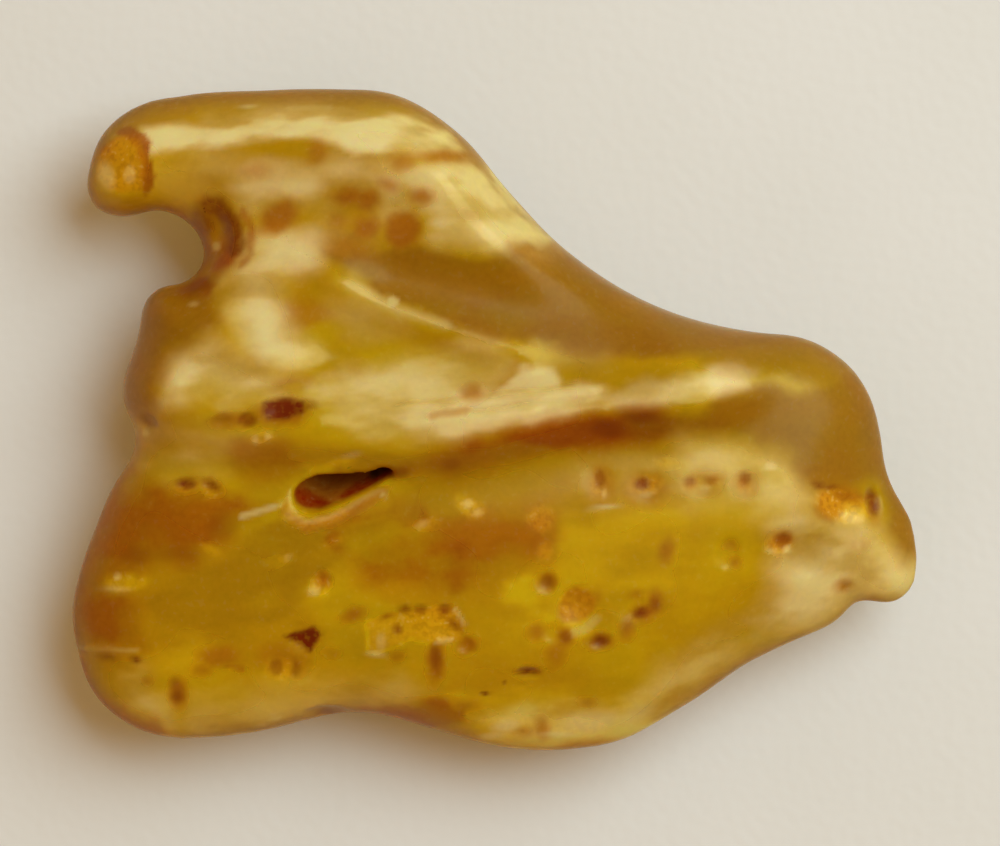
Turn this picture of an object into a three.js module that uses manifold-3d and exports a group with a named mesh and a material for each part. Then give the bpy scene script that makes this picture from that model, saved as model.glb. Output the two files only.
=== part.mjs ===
// A tumbled lump of raw copal, a honey-coloured tree resin, lying on its worn underside.
// It is one piece: an upper flow of resin that set over a lower one and ends in a lip across the
// upper face, with an arm that hooks round a bay at the left and a blunt toe at the right.
// Units are millimetres and +Z is up. The origin is on the resting face, under the middle of the outline.

import * as THREE from "three";
import Module from "manifold-3d";
import { mergeVertices } from "three/addons/utils/BufferGeometryUtils.js";

// Driving dimensions
const LENGTH = 60;
const WIDTH = 47;
const CROWN = 12.2; // height of the upper face at its middle, before its relief
const CROWN_FALL = 2.0; // how much lower that face is towards the outline
const FOOT_WEAR = 0.9; // what wear took off the rounded underside, which leaves a flat to rest on
const FOOT_RISE = 4.2; // how high the underside curls up towards the outline
const WAIST_SHARE = 0.46; // the outline lies at this share of the thickness
const THIN_ROUNDING = 4.3; // width of the rounded edge on the hooked arm
const FULL_ROUNDING = 7.6; // and on the lower body
const ROUNDING_FROM = -8; // the edge is at its full width below this y, and eases off from there
const ROUNDING_TO = 6; // to its thin width above this one
const CROWN_MIDDLE = [-2, -2]; // the upper face is highest here
const CROWN_REACH = [32, 26]; // and has fallen by CROWN_FALL this far away, along and across
const FOOT_MIDDLE = [-1, -4]; // the underside is lowest here
const FOOT_REACH = [24, 18];
const COARSE_EDGE = 2; // triangle edges on plain faces
const FINEST_EDGE = 0.5; // and where the surface turns the most
const FLATNESS = 0.05; // how far a triangle's edge may run beside the true surface
const GRID = 0.15; // spacing of the grid that the relief is worked out on
const FOOT_SLOPE = 1 / 3; // how fast the field grows above the resting face, per millimetre
const MARGIN = 2.5; // room left round the piece when its mesh is laid out
const RELIEF_ROOM = 3.5; // and the most that the relief stands over the crown
const CURVE_STEPS = 6; // samples between two hand-picked points of a line
const REFINEMENTS = 4;
const RELAXINGS = 2; // rounds of evening out after each refinement

// The outline seen from above, counter-clockwise from the tip of the hook
const OUTLINE = [
  [-28.9, 16.3], [-28.1, 14.9], [-26.2, 14.4], [-23.8, 14.9], [-22.0, 14.2], [-20.9, 12.9],
  [-20.7, 11.2], [-21.8, 9.9], [-23.8, 9.4], [-24.8, 8.4], [-25.3, 5.7], [-26.3, 3.0],
  [-26.3, 1.1], [-25.5, -0.7], [-25.7, -2.4], [-27.2, -4.9], [-28.4, -7.8], [-29.4, -10.6],
  [-30.0, -13.6], [-29.6, -16.3], [-28.6, -19.1], [-26.6, -21.2], [-23.8, -22.4], [-20.6, -22.5],
  [-16.3, -22.0], [-12.6, -21.1], [-9.4, -20.7], [-6.4, -21.3], [-2.8, -22.4], [0.7, -23.2],
  [4.6, -23.4], [8.7, -22.8], [11.8, -21.2], [14.9, -19.3], [17.7, -17.3], [20.9, -15.8],
  [24.3, -14.2], [25.7, -12.8], [27.7, -13.0], [28.9, -12.6], [29.8, -11.3], [29.9, -9.0],
  [29.4, -6.8], [28.4, -5.1], [27.7, -3.4], [27.4, -1.4], [26.8, 1.2], [25.7, 3.2],
  [23.9, 4.9], [21.4, 6.0], [18.2, 6.3], [14.8, 7.0], [11.0, 8.3], [7.3, 10.4],
  [3.8, 13.2], [0.9, 16.3], [-1.9, 19.7], [-4.6, 21.9], [-7.4, 23.2], [-11.3, 23.5],
  [-16.7, 23.4], [-21.6, 23.1], [-25.5, 22.2], [-27.9, 20.2], [-28.8, 17.6],
];

// Ridges (a positive rise) and grooves (a negative one) that follow a line over the upper face
const UPPER_RIDGES = [
  // Crest of the arm, and the groove below it
  { along: [[-26, 17.6], [-21, 18.2], [-15, 18.6], [-8, 18.6], [-3.6, 17.4]], rise: 1.2, spread: 2.6 },
  { along: [[-22.5, 15.4], [-13.8, 15.4], [-7, 15.0]], rise: -0.4, spread: 1.8 },
  // Edge of the shoulder, the trough that it falls to and the thin keel that bounds it
  { along: [[-8, 12.6], [-3, 12.4], [1, 12.4]], rise: 0.4, spread: 3 },
  { along: [[-7, 10.4], [-2, 9.4], [4, 7.8], [10, 6.4]], rise: -0.9, spread: 2.2 },
  { along: [[-11, 9.5], [-6.7, 7.5], [-2.5, 5.8], [1.8, 4.6]], rise: 0.75, spread: 1.1 },
  // Hollow above the lip, and the brow over the notch
  { along: [[-11, 4.4], [-4, 3.8], [3, 3.2], [8, 3.2]], rise: -0.9, spread: 2.4 },
  { along: [[-24, 1.5], [-18, 1.1], [-12.5, 0.4]], rise: 0.7, spread: 1.9 },
  // Back of the lower flow
  { along: [[-22, -9.5], [-12, -8.5], [0, -7.5], [12, -6.5], [19, -6]], rise: 0.8, spread: 8 },
  // Dip in front of the toe, and the fall towards it
  { along: [[20, -16], [21.5, -11.5], [24, -8]], rise: -0.6, spread: 2.6 },
  { along: [[27, -14.5], [30, -9], [30, -5]], rise: -1.5, spread: 5 },
];

// Broad swellings (or hollows) of the upper face
const UPPER_LUMPS = [
  { at: [-0.5, 14.2], reach: [5, 3.6], turn: -0.75, rise: 0.5 }, // shoulder
  { at: [-18.5, 7.0], reach: [4, 4], turn: 0, rise: 0.8 }, // left cheek
  { at: [-21, -3.0], reach: [4, 2.2], turn: 0, rise: -0.5 }, // hollow under the notch
  { at: [-25.5, -18], reach: [4, 4], turn: 0, rise: 0.5 }, // low left corner
  { at: [3.5, -20.5], reach: [7, 2.6], turn: 0, rise: -1.0 }, // sag of the lower rim
];

// The lip of the upper flow, from the notch at the left to the right corner
const LIP = {
  along: [[-27, -0.4], [-21, -0.9], [-16.5, -1.4], [-11.7, -1.4], [-5.5, -2.0], [0.3, -1.2],
    [4.6, 0.1], [9, 0.8], [14, 0.9], [17.5, 2.2], [20, 3.9], [24, 5.6]],
  rise: 2.2,
  leftShare: 0.4, // how much of the rise is there at the left end
  fullFrom: 0.4, // the rise is full from this share of the way
  fadesFrom: 0.62, // and fades from this one to nothing at the right end
  face: [-2.6, 0.4], // where the step starts and ends across the line, positive on the upper flow
  backShare: 0.35, // how much of the rise stays far behind the lip
  backReach: 4.5,
  grooveShare: 0.12, // depth of the groove at the foot of the step, as a share of the rise
  grooveAt: -3.0,
  grooveReach: 1.4,
};

// Pits in the upper face: centre, radii along and across, turn in radians and depth
const UPPER_PITS = [
  { at: [-26.4, 17.7], radii: [2.2, 2.0], turn: 0.3, depth: 0.8 },
  { at: [-19.3, 13.3], radii: [1.1, 2.0], turn: 0.25, depth: 0.8 },
  { at: [-14.9, 0.6], radii: [1.7, 1.0], turn: 0.15, depth: 0.8 },
  { at: [-17.2, 0.1], radii: [1.2, 0.8], turn: 0, depth: 0.5 },
  { at: [-13.4, -15.3], radii: [1.3, 1.0], turn: -0.5, depth: 0.6 },
  { at: [-15.1, -17.0], radii: [0.9, 0.9], turn: 0, depth: 0.5 },
  { at: [-6.9, -14.1], radii: [2.6, 1.3], turn: 0.12, depth: 0.45 },
  { at: [-3.2, -14.6], radii: [1.4, 1.2], turn: 0, depth: 0.4 },
  { at: [5.7, -12.9], radii: [1.6, 1.5], turn: 0, depth: 0.5 },
  { at: [9.6, -13.2], radii: [1.2, 0.9], turn: 0.6, depth: 0.45 },
  { at: [7.2, -4.2], radii: [0.8, 0.9], turn: 0, depth: 0.45 },
  { at: [10.6, -4.6], radii: [1.2, 0.8], turn: 0.1, depth: 0.45 },
  { at: [14.3, -4.4], radii: [1.2, 0.7], turn: 0, depth: 0.45 },
  { at: [17.4, -4.4], radii: [0.8, 0.8], turn: 0, depth: 0.5 },
  { at: [24.3, -5.7], radii: [2.3, 1.2], turn: -0.35, depth: 0.6 },
  { at: [21.6, -9.4], radii: [1.7, 1.6], turn: 0, depth: 0.35 },
];

const PIT_FULLNESS = 1.5; // 1 is a round bowl; more draws its rim out flatter

// The underside, which is turned to the table: the hook and the toe hang clear of it
const UNDER_RIDGES = [
  { along: [[-22, 10], [-12, 7.5], [-3, 9.5]], rise: 1.1, spread: 3 }, // channel from the bay
  { along: [[-24, -1], [-16, 0.5], [-10, 1.5]], rise: 0.7, spread: 1.6 }, // seam between the flows
  { along: [[17, -2], [22, -5], [27, -9]], rise: 0.6, spread: 2.2 }, // fold under the toe
  { along: [[-16, -19], [-9, -18], [-2, -19.5]], rise: 0.9, spread: 2.5 }, // lower rim
];
const UNDER_PITS = [
  { at: [-17, 17], radii: [1.6, 1.2], turn: 0.2, depth: 0.6 },
  { at: [-20, -9], radii: [2.0, 1.3], turn: -0.4, depth: 0.6 },
  { at: [-23, -16], radii: [1.1, 0.9], turn: 0, depth: 0.5 },
  { at: [15, 1.5], radii: [1.8, 1.1], turn: 0.5, depth: 0.6 },
  { at: [19, -11], radii: [1.2, 1.4], turn: 0, depth: 0.5 },
  { at: [5, 9], radii: [1.3, 1.0], turn: -0.6, depth: 0.5 },
  { at: [6, -19], radii: [1.4, 0.9], turn: 0.1, depth: 0.5 },
];

// The cavity left between the two flows, under the lip: its mouth, then the way it slants in
const CAVITY = {
  mouth: [[-14.2, -5.1], [-14.0, -6.2], [-12.9, -6.6], [-11.2, -6.0], [-9.3, -5.2], [-7.6, -4.2],
    [-6.7, -3.4], [-7.3, -3.1], [-9.0, -3.6], [-11.0, -3.8], [-13.0, -4.2]],
  into: new THREE.Vector3(0.7, 2.6, -4.6),
  outside: 0.5, // the cutters start this share of their length outside the piece
  floorShare: 0.55, // how much of the mouth's size is left at the bottom
  steps: 5,
};
// The round pipe that leads on from the cavity's right end
const PIPE = { mouth: [-7.7, -3.6], radii: [0.62, 0.4], into: new THREE.Vector3(0.9, 1.4, -5), sides: 12 };

// Relief of the two faces

const smoothstep = (from, to, value) => THREE.MathUtils.smoothstep(value, from, to);

// Samples an open or closed curve through hand-picked points into a list of [x, y].
function sampled(points, closed, perSpan) {
  const knots = points.map(([x, y]) => new THREE.Vector3(x, y, 0));
  const curve = new THREE.CatmullRomCurve3(knots, closed, "centripetal");
  return curve.getPoints(points.length * perSpan).map((p) => [p.x, p.y]);
}

// The nearest point of a sampled line: its distance, the side it is seen from, and its share of the way.
function nearestOn(line, x, y) {
  let best = { distance: Infinity, side: 1, share: 0 };
  for (let i = 0; i + 1 < line.length; i++) {
    const [ax, ay] = line[i];
    const dx = line[i + 1][0] - ax;
    const dy = line[i + 1][1] - ay;
    const along = THREE.MathUtils.clamp(((x - ax) * dx + (y - ay) * dy) / (dx * dx + dy * dy), 0, 1);
    const distance = Math.hypot(x - ax - along * dx, y - ay - along * dy);
    if (distance < best.distance) {
      const side = Math.sign(dx * (y - ay) - dy * (x - ax)) || 1;
      best = { distance, side, share: (i + along) / (line.length - 1) };
    }
  }
  return best;
}

const GRID_ROW = 8192; // more grid points than a row ever has, so that no two points share a key

// Keeps a function of x and y on a fine grid, worked out once, and reads it between the grid points.
function gridded(evaluate) {
  const known = new Map();
  const at = (i, j) => {
    const key = i * GRID_ROW + j;
    if (!known.has(key)) known.set(key, evaluate(i * GRID, j * GRID));
    return known.get(key);
  };
  return (x, y) => {
    const [i, j] = [Math.floor(x / GRID), Math.floor(y / GRID)];
    const [u, v] = [x / GRID - i, y / GRID - j];
    const near = THREE.MathUtils.lerp(at(i, j), at(i + 1, j), u);
    const far = THREE.MathUtils.lerp(at(i, j + 1), at(i + 1, j + 1), u);
    return THREE.MathUtils.lerp(near, far, v);
  };
}

const rim = sampled(OUTLINE, true, CURVE_STEPS);

// Distance from the outline, positive inside it.
const insideBy = gridded((x, y) => {
  let within = false;
  for (let i = 0; i + 1 < rim.length; i++) {
    const [ax, ay] = rim[i];
    const [bx, by] = rim[i + 1];
    if (ay > y !== by > y && x < ax + ((y - ay) / (by - ay)) * (bx - ax)) within = !within;
  }
  return nearestOn(rim, x, y).distance * (within ? 1 : -1);
});

const withLine = (ridge) => ({ ...ridge, line: sampled(ridge.along, false, CURVE_STEPS) });
const upperRidges = UPPER_RIDGES.map(withLine);
const underRidges = UNDER_RIDGES.map(withLine);
const lip = withLine(LIP);

const ridgeRelief = (ridges, x, y) =>
  ridges.reduce((sum, ridge) => {
    const share = nearestOn(ridge.line, x, y).distance / ridge.spread;
    return sum + ridge.rise * Math.exp(-(share ** 2));
  }, 0);

// How far a point is from the middle of an oval, as a share of its radii.
function ovalShare(at, radii, turn, x, y) {
  const dx = x - at[0];
  const dy = y - at[1];
  const along = dx * Math.cos(turn) + dy * Math.sin(turn);
  const across = dy * Math.cos(turn) - dx * Math.sin(turn);
  return Math.hypot(along / radii[0], across / radii[1]);
}

const lumpRelief = (x, y) =>
  UPPER_LUMPS.reduce((sum, l) => sum + l.rise * Math.exp(-(ovalShare(l.at, l.reach, l.turn, x, y) ** 2)), 0);

const pitDepth = (pits, x, y) =>
  pits.reduce((sum, p) => {
    const share = ovalShare(p.at, p.radii, p.turn, x, y);
    return share < 1 ? sum + p.depth * (1 - share ** 2) ** PIT_FULLNESS : sum;
  }, 0);

// The step of the upper flow over the lower one, highest at the lip and easing off behind it.
function lipRelief(x, y) {
  const { distance, side, share } = nearestOn(lip.line, x, y);
  const s = distance * side;
  const growth = THREE.MathUtils.lerp(lip.leftShare, 1, smoothstep(0, lip.fullFrom, share));
  const height = lip.rise * growth * (1 - smoothstep(lip.fadesFrom, 1, share));
  const behind = lip.backShare + (1 - lip.backShare) * Math.exp(-((Math.max(s, 0) / lip.backReach) ** 2));
  const groove = lip.grooveShare * Math.exp(-(((s - lip.grooveAt) / lip.grooveReach) ** 2));
  return height * (smoothstep(lip.face[0], lip.face[1], s) * behind - groove);
}

// How far a point is from the middle of a bowl, squared, as a share of its reach.
const bowlShare = (middle, reach, x, y) => ovalShare(middle, reach, 0, x, y) ** 2;
const crownBase = (x, y) => CROWN - CROWN_FALL * bowlShare(CROWN_MIDDLE, CROWN_REACH, x, y);

// The rounded underside before its relief, which flattens out towards the outline.
function underBase(x, y) {
  const share = bowlShare(FOOT_MIDDLE, FOOT_REACH, x, y);
  return (FOOT_RISE * share) / (1 + share / 2) - FOOT_WEAR;
}

const upperFace = gridded((x, y) => {
  const relief = ridgeRelief(upperRidges, x, y) + lumpRelief(x, y) + lipRelief(x, y);
  return crownBase(x, y) + relief - pitDepth(UPPER_PITS, x, y);
});
const underFace = gridded((x, y) => {
  const relief = ridgeRelief(underRidges, x, y) + pitDepth(UNDER_PITS, x, y);
  return underBase(x, y) + relief;
});

// The lump as a field that is positive in the resin and zero at its surface. Across the edge the
// section is a quarter oval above the waist and another below it, and the foot is worn off at z = 0.
const lumpBetween = (under, upper) => (x, y, z) => {
  const low = underBase(x, y);
  const waist = low + WAIST_SHARE * (crownBase(x, y) - low);
  const reach = z > waist ? upper(x, y) - waist : waist - under(x, y);
  const thinness = smoothstep(ROUNDING_FROM, ROUNDING_TO, y);
  const rounding = THREE.MathUtils.lerp(FULL_ROUNDING, THIN_ROUNDING, thinness);
  const inset = Math.max(0, 1 - insideBy(x, y) / rounding);
  return Math.min(1 - ((z - waist) / reach) ** 2 - inset ** 2, z * FOOT_SLOPE);
};
const plainLump = lumpBetween(underBase, crownBase);
const resin = lumpBetween(underFace, upperFace);

// Meshing

const PROBE = 0.01; // the slope of a field is read over this distance
const SETTLE_PASSES = 6;
const LONGEST_STEP = 2; // a point moves no further than this at once
const ON_TABLE = 1e-4; // a point this near the resting face lies on it
const STRAIGHT_ENOUGH = 0.9; // cosine between two faces that may swap their shared edge
const TURN_GAIN = 0.05; // and the least gain in angle, in radians
const NEARLY_NONE = 1e-9; // keeps a division from a slope or a length of nothing

// Which way a field grows at a point, and how fast.
function slopeAt(field, [x, y, z]) {
  const h = PROBE;
  return [
    (field(x + h, y, z) - field(x - h, y, z)) / (2 * h),
    (field(x, y + h, z) - field(x, y - h, z)) / (2 * h),
    (field(x, y, z + h) - field(x, y, z - h)) / (2 * h),
  ];
}

// Moves a point onto a field's surface, down or up the field's own slope.
function settle([x, y, z], field = resin) {
  for (let pass = 0; pass < SETTLE_PASSES; pass++) {
    const slope = slopeAt(field, [x, y, z]);
    const steepness = slope.reduce((sum, v) => sum + v * v, NEARLY_NONE);
    const step = THREE.MathUtils.clamp(field(x, y, z) / steepness, -LONGEST_STEP, LONGEST_STEP);
    [x, y, z] = [x - step * slope[0], y - step * slope[1], z - step * slope[2]];
  }
  return [x, y, Math.abs(z) < ON_TABLE ? 0 : z];
}

// A surface net: one point in each grid cell that the surface crosses, and a quad for each grid edge.
function surfaceNet(field, low, high, cell) {
  const counts = low.map((v, i) => Math.ceil((high[i] - v) / cell) + 1);
  const at = (i, j, k) => [low[0] + i * cell, low[1] + j * cell, low[2] + k * cell];
  const index = (i, j, k) => (k * counts[1] + j) * counts[0] + i;
  const values = new Float32Array(counts[0] * counts[1] * counts[2]);
  for (let k = 0; k < counts[2]; k++)
    for (let j = 0; j < counts[1]; j++)
      for (let i = 0; i < counts[0]; i++) values[index(i, j, k)] = field(...at(i, j, k));

  const axes = [[1, 0, 0], [0, 1, 0], [0, 0, 1]];
  // The mean of the places where the cell's twelve edges cross the surface
  const crossingMean = (i, j, k) => {
    const crossings = [];
    axes.forEach((step, axis) => {
      const [u, v] = [axes[(axis + 1) % 3], axes[(axis + 2) % 3]];
      for (const [a, b] of [[0, 0], [1, 0], [0, 1], [1, 1]]) {
        const from = [i, j, k].map((n, d) => n + a * u[d] + b * v[d]);
        const to = from.map((n, d) => n + step[d]);
        const [near, far] = [values[index(...from)], values[index(...to)]];
        if (near > 0 === far > 0) continue;
        crossings.push(at(...from.map((n, d) => n + (near / (near - far)) * step[d])));
      }
    });
    return [0, 1, 2].map((d) => crossings.reduce((sum, c) => sum + c[d], 0) / crossings.length);
  };
  const points = [];
  const cellPoint = new Map();
  const pointOf = (i, j, k) => {
    const key = index(i, j, k);
    if (!cellPoint.has(key)) {
      cellPoint.set(key, points.length);
      points.push(settle(crossingMean(i, j, k), field));
    }
    return cellPoint.get(key);
  };

  const triangles = [];
  for (let k = 1; k + 1 < counts[2]; k++)
    for (let j = 1; j + 1 < counts[1]; j++)
      for (let i = 1; i + 1 < counts[0]; i++)
        axes.forEach((step, axis) => {
          const here = values[index(i, j, k)] > 0;
          const next = values[index(i + step[0], j + step[1], k + step[2])] > 0;
          if (here === next) return;
          const u = axes[(axis + 1) % 3];
          const v = axes[(axis + 2) % 3];
          const corner = (a, b) => pointOf(...[i, j, k].map((n, d) => n - a * u[d] - b * v[d]));
          const quad = [corner(0, 0), corner(1, 0), corner(1, 1), corner(0, 1)];
          if (!here) quad.reverse();
          triangles.push([quad[0], quad[1], quad[2]], [quad[0], quad[2], quad[3]]);
        });
  return { points, triangles };
}

const gap = (a, b) => Math.hypot(a[0] - b[0], a[1] - b[1], a[2] - b[2]);
const middleOf = (a, b) => a.map((v, i) => (v + b[i]) / 2);

// How far a point lies beside the surface, to first order.
function offSurface(p) {
  const slope = slopeAt(resin, p);
  return Math.abs(resin(...p)) / Math.hypot(...slope, NEARLY_NONE);
}

// An edge is too long where a quarter, half or three quarters of the way along it leaves the surface.
function tooLong(a, b) {
  const length = gap(a, b);
  if (length < 2 * FINEST_EDGE) return false;
  return [0.25, 0.5, 0.75].some((t) => offSurface(a.map((v, i) => v + t * (b[i] - v))) > FLATNESS);
}

// Splits every edge that is too long, with the new point on the surface.
function refined({ points, triangles }) {
  const halves = new Map();
  const half = (a, b) => {
    const key = a < b ? `${a},${b}` : `${b},${a}`;
    if (!halves.has(key)) {
      const split = tooLong(points[a], points[b]);
      halves.set(key, split ? points.push(settle(middleOf(points[a], points[b]))) - 1 : -1);
    }
    return halves.get(key);
  };
  const next = [];
  for (const [a, b, c] of triangles) {
    const [ab, bc, ca] = [half(a, b), half(b, c), half(c, a)];
    const split = [ab, bc, ca].filter((m) => m >= 0).length;
    if (split === 0) next.push([a, b, c]);
    else if (split === 3) next.push([a, ab, ca], [ab, b, bc], [ca, bc, c], [ab, bc, ca]);
    else if (split === 1) {
      if (ab >= 0) next.push([a, ab, c], [ab, b, c]);
      if (bc >= 0) next.push([b, bc, a], [bc, c, a]);
      if (ca >= 0) next.push([c, ca, b], [ca, a, b]);
    } else {
      // p is the corner between the two split edges
      const [p, q, r, pq, rp] = ca < 0 ? [b, c, a, bc, ab] : ab < 0 ? [c, a, b, ca, bc] : [a, b, c, ab, ca];
      next.push([p, pq, rp]);
      if (gap(points[pq], points[r]) < gap(points[rp], points[q])) next.push([pq, q, r], [pq, r, rp]);
      else next.push([pq, q, rp], [q, r, rp]);
    }
  }
  return { points, triangles: next };
}

// The angle at p between the ways to q and r.
function angleAt(p, q, r) {
  const [u, v] = [q.map((n, i) => n - p[i]), r.map((n, i) => n - p[i])];
  const dot = u[0] * v[0] + u[1] * v[1] + u[2] * v[2];
  return Math.acos(THREE.MathUtils.clamp(dot / (Math.hypot(...u) * Math.hypot(...v) + NEARLY_NONE), -1, 1));
}

function normalOf(a, b, c) {
  const [u, v] = [b.map((n, i) => n - a[i]), c.map((n, i) => n - a[i])];
  return new THREE.Vector3(...u).cross(new THREE.Vector3(...v)).normalize();
}

// Turns the edge shared by two triangles where the other diagonal makes better ones.
function turned({ points, triangles }) {
  const next = triangles.map((t) => [...t]);
  const keyOf = (a, b) => a * points.length + b;
  const owner = new Map();
  const claim = (t) => next[t].forEach((a, i) => owner.set(keyOf(a, next[t][(i + 1) % 3]), t));
  next.forEach((_, t) => claim(t));
  for (let t = 0; t < next.length; t++)
    for (let i = 0; i < 3; i++) {
      const [a, b, c] = [next[t][i], next[t][(i + 1) % 3], next[t][(i + 2) % 3]];
      const other = owner.get(keyOf(b, a));
      const d = next[other].find((p) => p !== a && p !== b);
      if (owner.has(keyOf(c, d)) || owner.has(keyOf(d, c))) continue;
      const [A, B, C, D] = [points[a], points[b], points[c], points[d]];
      if (angleAt(C, A, B) + angleAt(D, A, B) < Math.PI + TURN_GAIN) continue;
      const before = normalOf(A, B, C).add(normalOf(B, A, D)).normalize();
      if (normalOf(A, B, C).dot(normalOf(B, A, D)) < STRAIGHT_ENOUGH) continue;
      if (Math.min(normalOf(A, D, C).dot(before), normalOf(D, B, C).dot(before)) < STRAIGHT_ENOUGH) continue;
      owner.delete(keyOf(a, b));
      owner.delete(keyOf(b, a));
      next[t] = [a, d, c];
      next[other] = [d, b, c];
      claim(t);
      claim(other);
      break;
    }
  return { points, triangles: next };
}

// Evens out the triangles: each point goes towards its neighbours and back onto the surface.
function relaxed({ points, triangles }, passes) {
  const neighbours = points.map(() => new Set());
  for (const t of triangles) t.forEach((p, i) => neighbours[p].add(t[(i + 1) % 3]).add(t[(i + 2) % 3]));
  for (let pass = 0; pass < passes; pass++)
    points = points.map((p, i) => {
      const ring = [...neighbours[i]].map((n) => points[n]);
      const mean = p.map((_, axis) => ring.reduce((sum, r) => sum + r[axis], 0) / ring.length);
      return settle(middleOf(p, mean));
    });
  return { points, triangles };
}

function geometryOf({ points, triangles }) {
  const geometry = new THREE.BufferGeometry();
  geometry.setAttribute("position", new THREE.Float32BufferAttribute(points.flat(), 3));
  geometry.setIndex(triangles.flat());
  return geometry;
}

// The cavity

const wasm = await Module();
wasm.setup();

const SAME_POINT = 1e-4; // points this near each other are one

function solidOf(geometry) {
  const bare = geometry.clone();
  bare.deleteAttribute("normal");
  bare.deleteAttribute("uv");
  const merged = mergeVertices(bare, SAME_POINT);
  return new wasm.Manifold(
    new wasm.Mesh({
      numProp: 3,
      vertProperties: merged.attributes.position.array,
      triVerts: new Uint32Array(merged.index.array),
    }),
  );
}

function geometryFrom(solid) {
  const { vertProperties, triVerts } = solid.getMesh();
  const geometry = new THREE.BufferGeometry();
  geometry.setAttribute("position", new THREE.BufferAttribute(vertProperties, 3));
  geometry.setIndex(new THREE.BufferAttribute(triVerts, 1));
  geometry.computeVertexNormals();
  return geometry;
}

// A slanting, narrowing cutter with the outline given as its mouth. It runs from outside the piece,
// through the mouth at the upper face, to the bottom that the vector leads to.
function slantedCutter(outline, into, floorShare, steps) {
  const shape = new THREE.Shape(outline.map(([x, y]) => new THREE.Vector2(x, y)));
  const geometry = new THREE.ExtrudeGeometry(shape, { depth: 1, steps, bevelEnabled: false });
  const middle = [0, 1].map((axis) => outline.reduce((sum, point) => sum + point[axis], 0) / outline.length);
  const top = upperFace(...middle);
  const position = geometry.getAttribute("position");
  for (let i = 0; i < position.count; i++) {
    const way = (1 - position.getZ(i)) * (1 + CAVITY.outside) - CAVITY.outside;
    const size = THREE.MathUtils.lerp(1, floorShare, Math.max(way, 0));
    position.setXYZ(
      i,
      middle[0] + (position.getX(i) - middle[0]) * size + into.x * way,
      middle[1] + (position.getY(i) - middle[1]) * size + into.y * way,
      top + into.z * way,
    );
  }
  return solidOf(geometry);
}

const pipeMouth = Array.from({ length: PIPE.sides }, (_, i) => {
  const angle = (2 * Math.PI * i) / PIPE.sides;
  return [PIPE.mouth[0] + PIPE.radii[0] * Math.cos(angle), PIPE.mouth[1] + PIPE.radii[1] * Math.sin(angle)];
});

function copalGeometry() {
  const low = [-LENGTH / 2 - MARGIN, -WIDTH / 2 - MARGIN, -MARGIN];
  const high = [LENGTH / 2 + MARGIN, WIDTH / 2 + MARGIN, CROWN + RELIEF_ROOM + MARGIN];
  const plain = surfaceNet(plainLump, low, high, COARSE_EDGE);
  let lump = relaxed({ points: plain.points.map((p) => settle(p)), triangles: plain.triangles }, RELAXINGS);
  for (let round = 0; round < REFINEMENTS; round++) lump = relaxed(turned(refined(lump)), RELAXINGS);
  const mouth = sampled(CAVITY.mouth, true, 2).slice(0, -1);
  const cavity = slantedCutter(mouth, CAVITY.into, CAVITY.floorShare, CAVITY.steps);
  const pipe = slantedCutter(pipeMouth, PIPE.into, 1, 1);
  return geometryFrom(solidOf(geometryOf(lump)).subtract(cavity).subtract(pipe));
}

const resinMaterial = new THREE.MeshStandardMaterial({ color: 0xc08a1e, roughness: 0.28, metalness: 0 });
const copal = new THREE.Mesh(copalGeometry(), resinMaterial);
copal.name = "copal";

const group = new THREE.Group();
group.add(copal);
export default group;
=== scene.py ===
"""Looks for a tumbled lump of raw copal, a cloudy honey-coloured tree resin, lying on a pale table.

The lump's skin is a finer copy of its CAD solid, with the small pits, flow lines and crumbly breaks that
the solid leaves out. Places on the lump are millimetres in the part's own frame, seen from above: x runs
along the lump, y towards its hooked arm. The camera looks straight down, as the photograph does.
"""
import logging
import math
from dataclasses import dataclass
from enum import Enum

import bpy
import numpy as np
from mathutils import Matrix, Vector, noise


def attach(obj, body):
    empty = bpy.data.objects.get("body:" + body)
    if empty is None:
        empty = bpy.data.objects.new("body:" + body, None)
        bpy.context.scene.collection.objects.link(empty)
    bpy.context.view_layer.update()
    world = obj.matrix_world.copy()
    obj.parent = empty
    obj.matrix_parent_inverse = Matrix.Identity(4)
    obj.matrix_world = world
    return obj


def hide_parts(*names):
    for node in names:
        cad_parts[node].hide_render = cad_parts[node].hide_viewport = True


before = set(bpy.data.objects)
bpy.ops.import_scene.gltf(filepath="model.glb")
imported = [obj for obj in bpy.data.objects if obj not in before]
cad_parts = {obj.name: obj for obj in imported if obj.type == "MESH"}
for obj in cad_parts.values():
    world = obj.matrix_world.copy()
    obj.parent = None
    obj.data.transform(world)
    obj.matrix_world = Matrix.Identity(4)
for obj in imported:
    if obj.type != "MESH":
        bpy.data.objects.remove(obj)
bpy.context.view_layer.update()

logging.basicConfig(level=logging.INFO, format="%(levelname)s %(message)s")
log = logging.getLogger("copal")

MM = 0.001
NODE = "copal"
BODY = "root"

PHOTO_WIDTH_PX = 1000
LUMP_WIDTH_PX = 846  # the lump from hook to toe in the photograph
LUMP_WIDTH = 60 * MM
PHOTO_WIDTH = LUMP_WIDTH * PHOTO_WIDTH_PX / LUMP_WIDTH_PX
PHOTO_MIDDLE = (0.35 * MM, -0.18 * MM)  # the point of the frame under the middle of the photograph
WAIST = 6 * MM  # height of the lump's outline over the table
STREAKS = (0.5, 1.1, 1.0)  # squeezes the resin's clouds, so that they are drawn out along the lump
FACING = (-0.15, 0.25)  # how far a vertex must face a side before its marks begin, and for all of them
HEIGHT_EDGE = 0.3  # how softly marks end at a height, in millimetres to either side

Colour = tuple[float, float, float, float]
Socket = bpy.types.NodeSocket


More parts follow.
